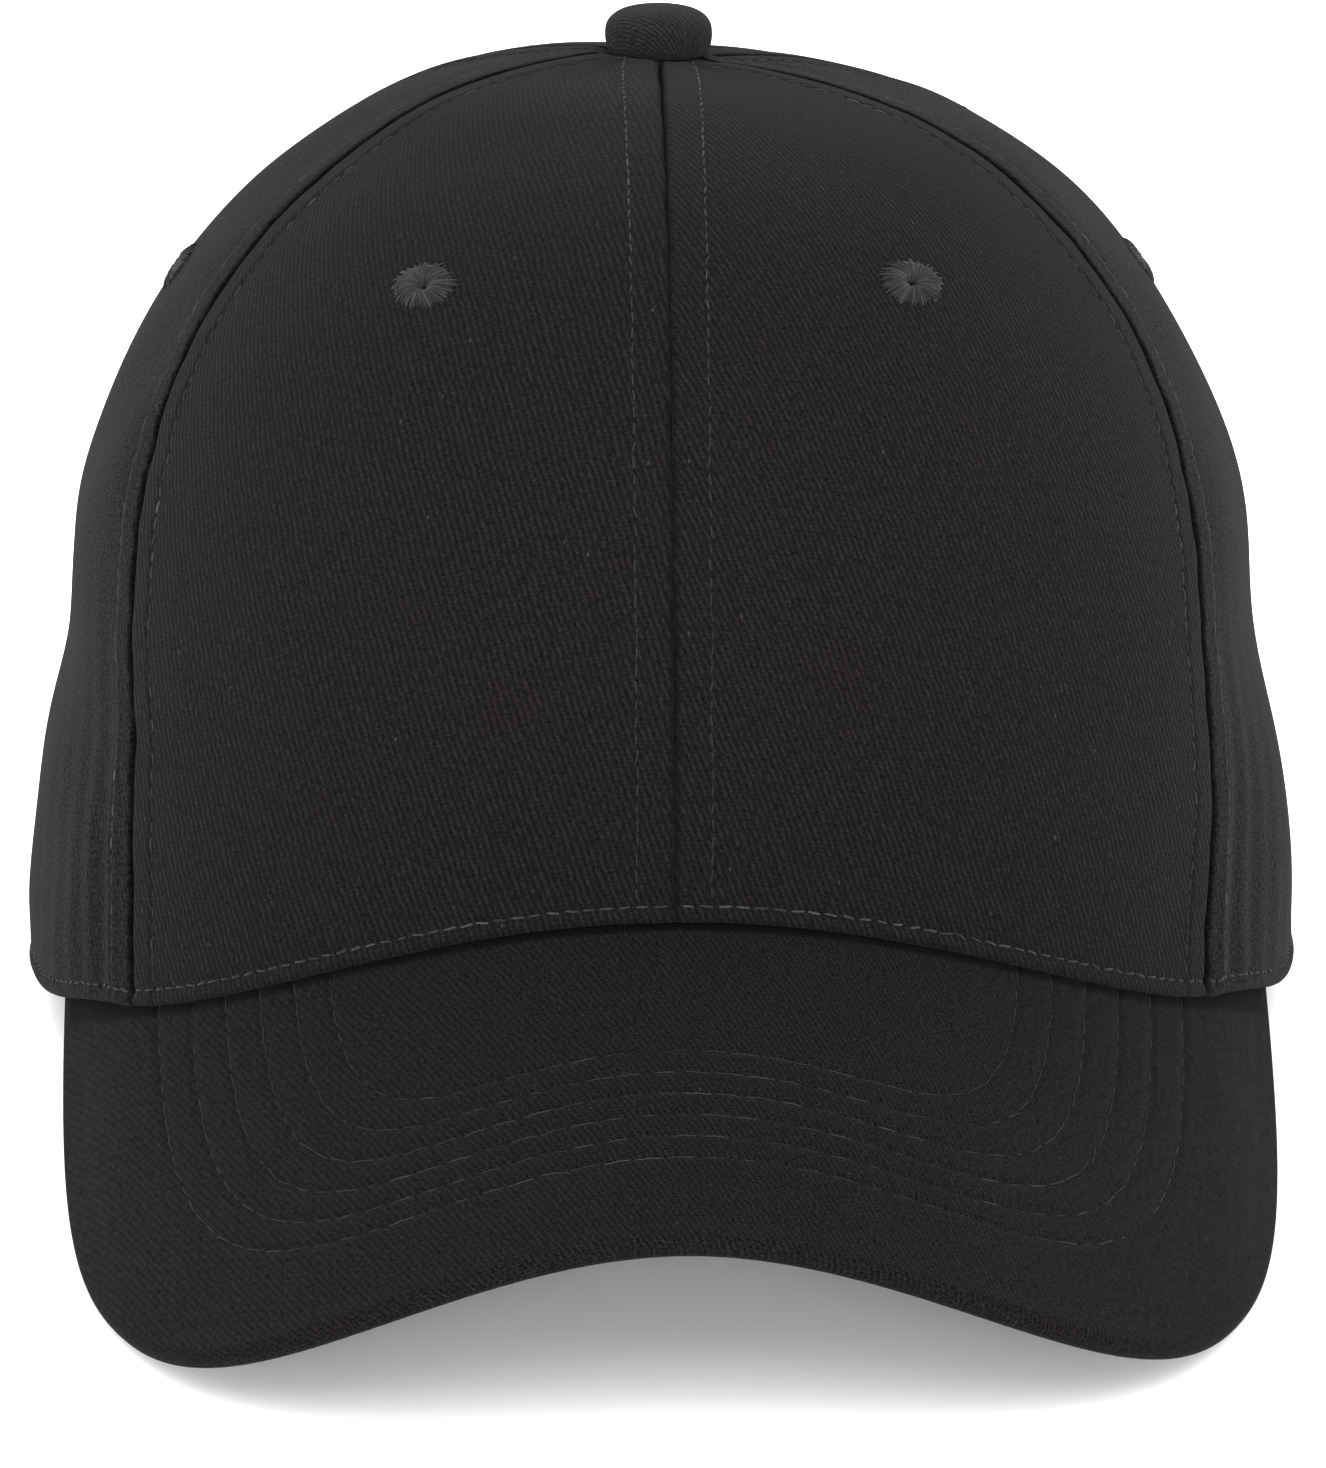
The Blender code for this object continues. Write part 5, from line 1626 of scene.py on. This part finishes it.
def place(name, data, where, aim):
    """A camera or a light at a place, looking along aim."""
    made = bpy.data.objects.new(name, data)
    made.location = where
    made.rotation_mode = "QUATERNION"
    made.rotation_quaternion = aim.to_track_quat("-Z", "Y")
    bpy.context.scene.collection.objects.link(made)
    return made


def make_camera():
    """The photograph's viewpoint, aimed so that the frame needs no shift."""
    out = math.cos(VIEW_ELEVATION)
    level = (math.sin(VIEW_AZIMUTH) * out, -math.cos(VIEW_AZIMUTH) * out)
    back = (REST.to_3x3() @ Vector((*level, math.sin(VIEW_ELEVATION)))).normalized()
    right = (-back).cross(Vector((0, 0, 1))).normalized()
    up = right.cross(-back)
    across, down = ((TARGET_PIXEL[k] - IMAGE[k] / 2) / FOCAL_PIXELS for k in range(2))
    aim = (-back - right * across + up * down).normalized()
    data = bpy.data.cameras.new("camera")
    data.sensor_width = 36.0
    data.lens = FOCAL_PIXELS / max(IMAGE) * data.sensor_width
    data.clip_end = 30.0
    bpy.context.scene.camera = place("camera", data, TARGET + back * VIEW_DISTANCE, aim)


def area_light(name, where, size, power):
    data = bpy.data.lights.new(name, "AREA")
    data.shape = "RECTANGLE"
    data.size, data.size_y = size
    data.energy = power
    place(name, data, where, LIGHT_AIM - Vector(where))


def make_floor():
    look = Look("floor_white", Roughness=0.9, Specular_IOR_Level=0.1)
    soft = look.noise(look.object_place(), 0.8, 2.0)
    look.link("Base Color", look.ramp(soft, (0.3, grey(0.90)), (0.7, grey(0.92))))
    corners = [(x * FLOOR_REACH, y * FLOOR_REACH, 0) for x, y in ((-1, -1), (1, -1), (1, 1), (-1, 1))]
    data = bpy.data.meshes.new("floor")
    data.from_pydata(corners, [], [(0, 1, 2, 3)])
    data.materials.append(look.material)
    floor = bpy.data.objects.new("floor", data)
    bpy.context.scene.collection.objects.link(floor)


def make_world():
    world = bpy.data.worlds.new("studio")
    world.use_nodes = True
    background = world.node_tree.nodes["Background"].inputs
    background["Color"].default_value = (1, 1, 1, 1)
    background["Strength"].default_value = WORLD_STRENGTH
    bpy.context.scene.world = world


panels = make_panels()
sew_panels(panels)
brim_cover("brim_top_cover", 1, 150)
brim_cover("brim_under_cover", -1, 110)
sew_brim()
button_cover()
make_eyelets(panels)
make_lining()
closure_strap()
buckle_tab()
dress_hard_nodes()
make_camera()
make_floor()
make_world()
area_light("key_front", (0.0, -2.4, 0.75), (1.6, 0.7), 72)
area_light("key_high", (0.0, -1.5, 1.6), (1.8, 1.0), 20)
area_light("side_left", (-1.7, -0.5, 0.9), (1.2, 1.4), 9.7)
area_light("side_right", (1.7, -0.5, 0.9), (1.2, 1.4), 8.7)
bpy.context.scene.view_settings.view_transform = "Standard"
bpy.context.scene.view_settings.gamma = 0.75
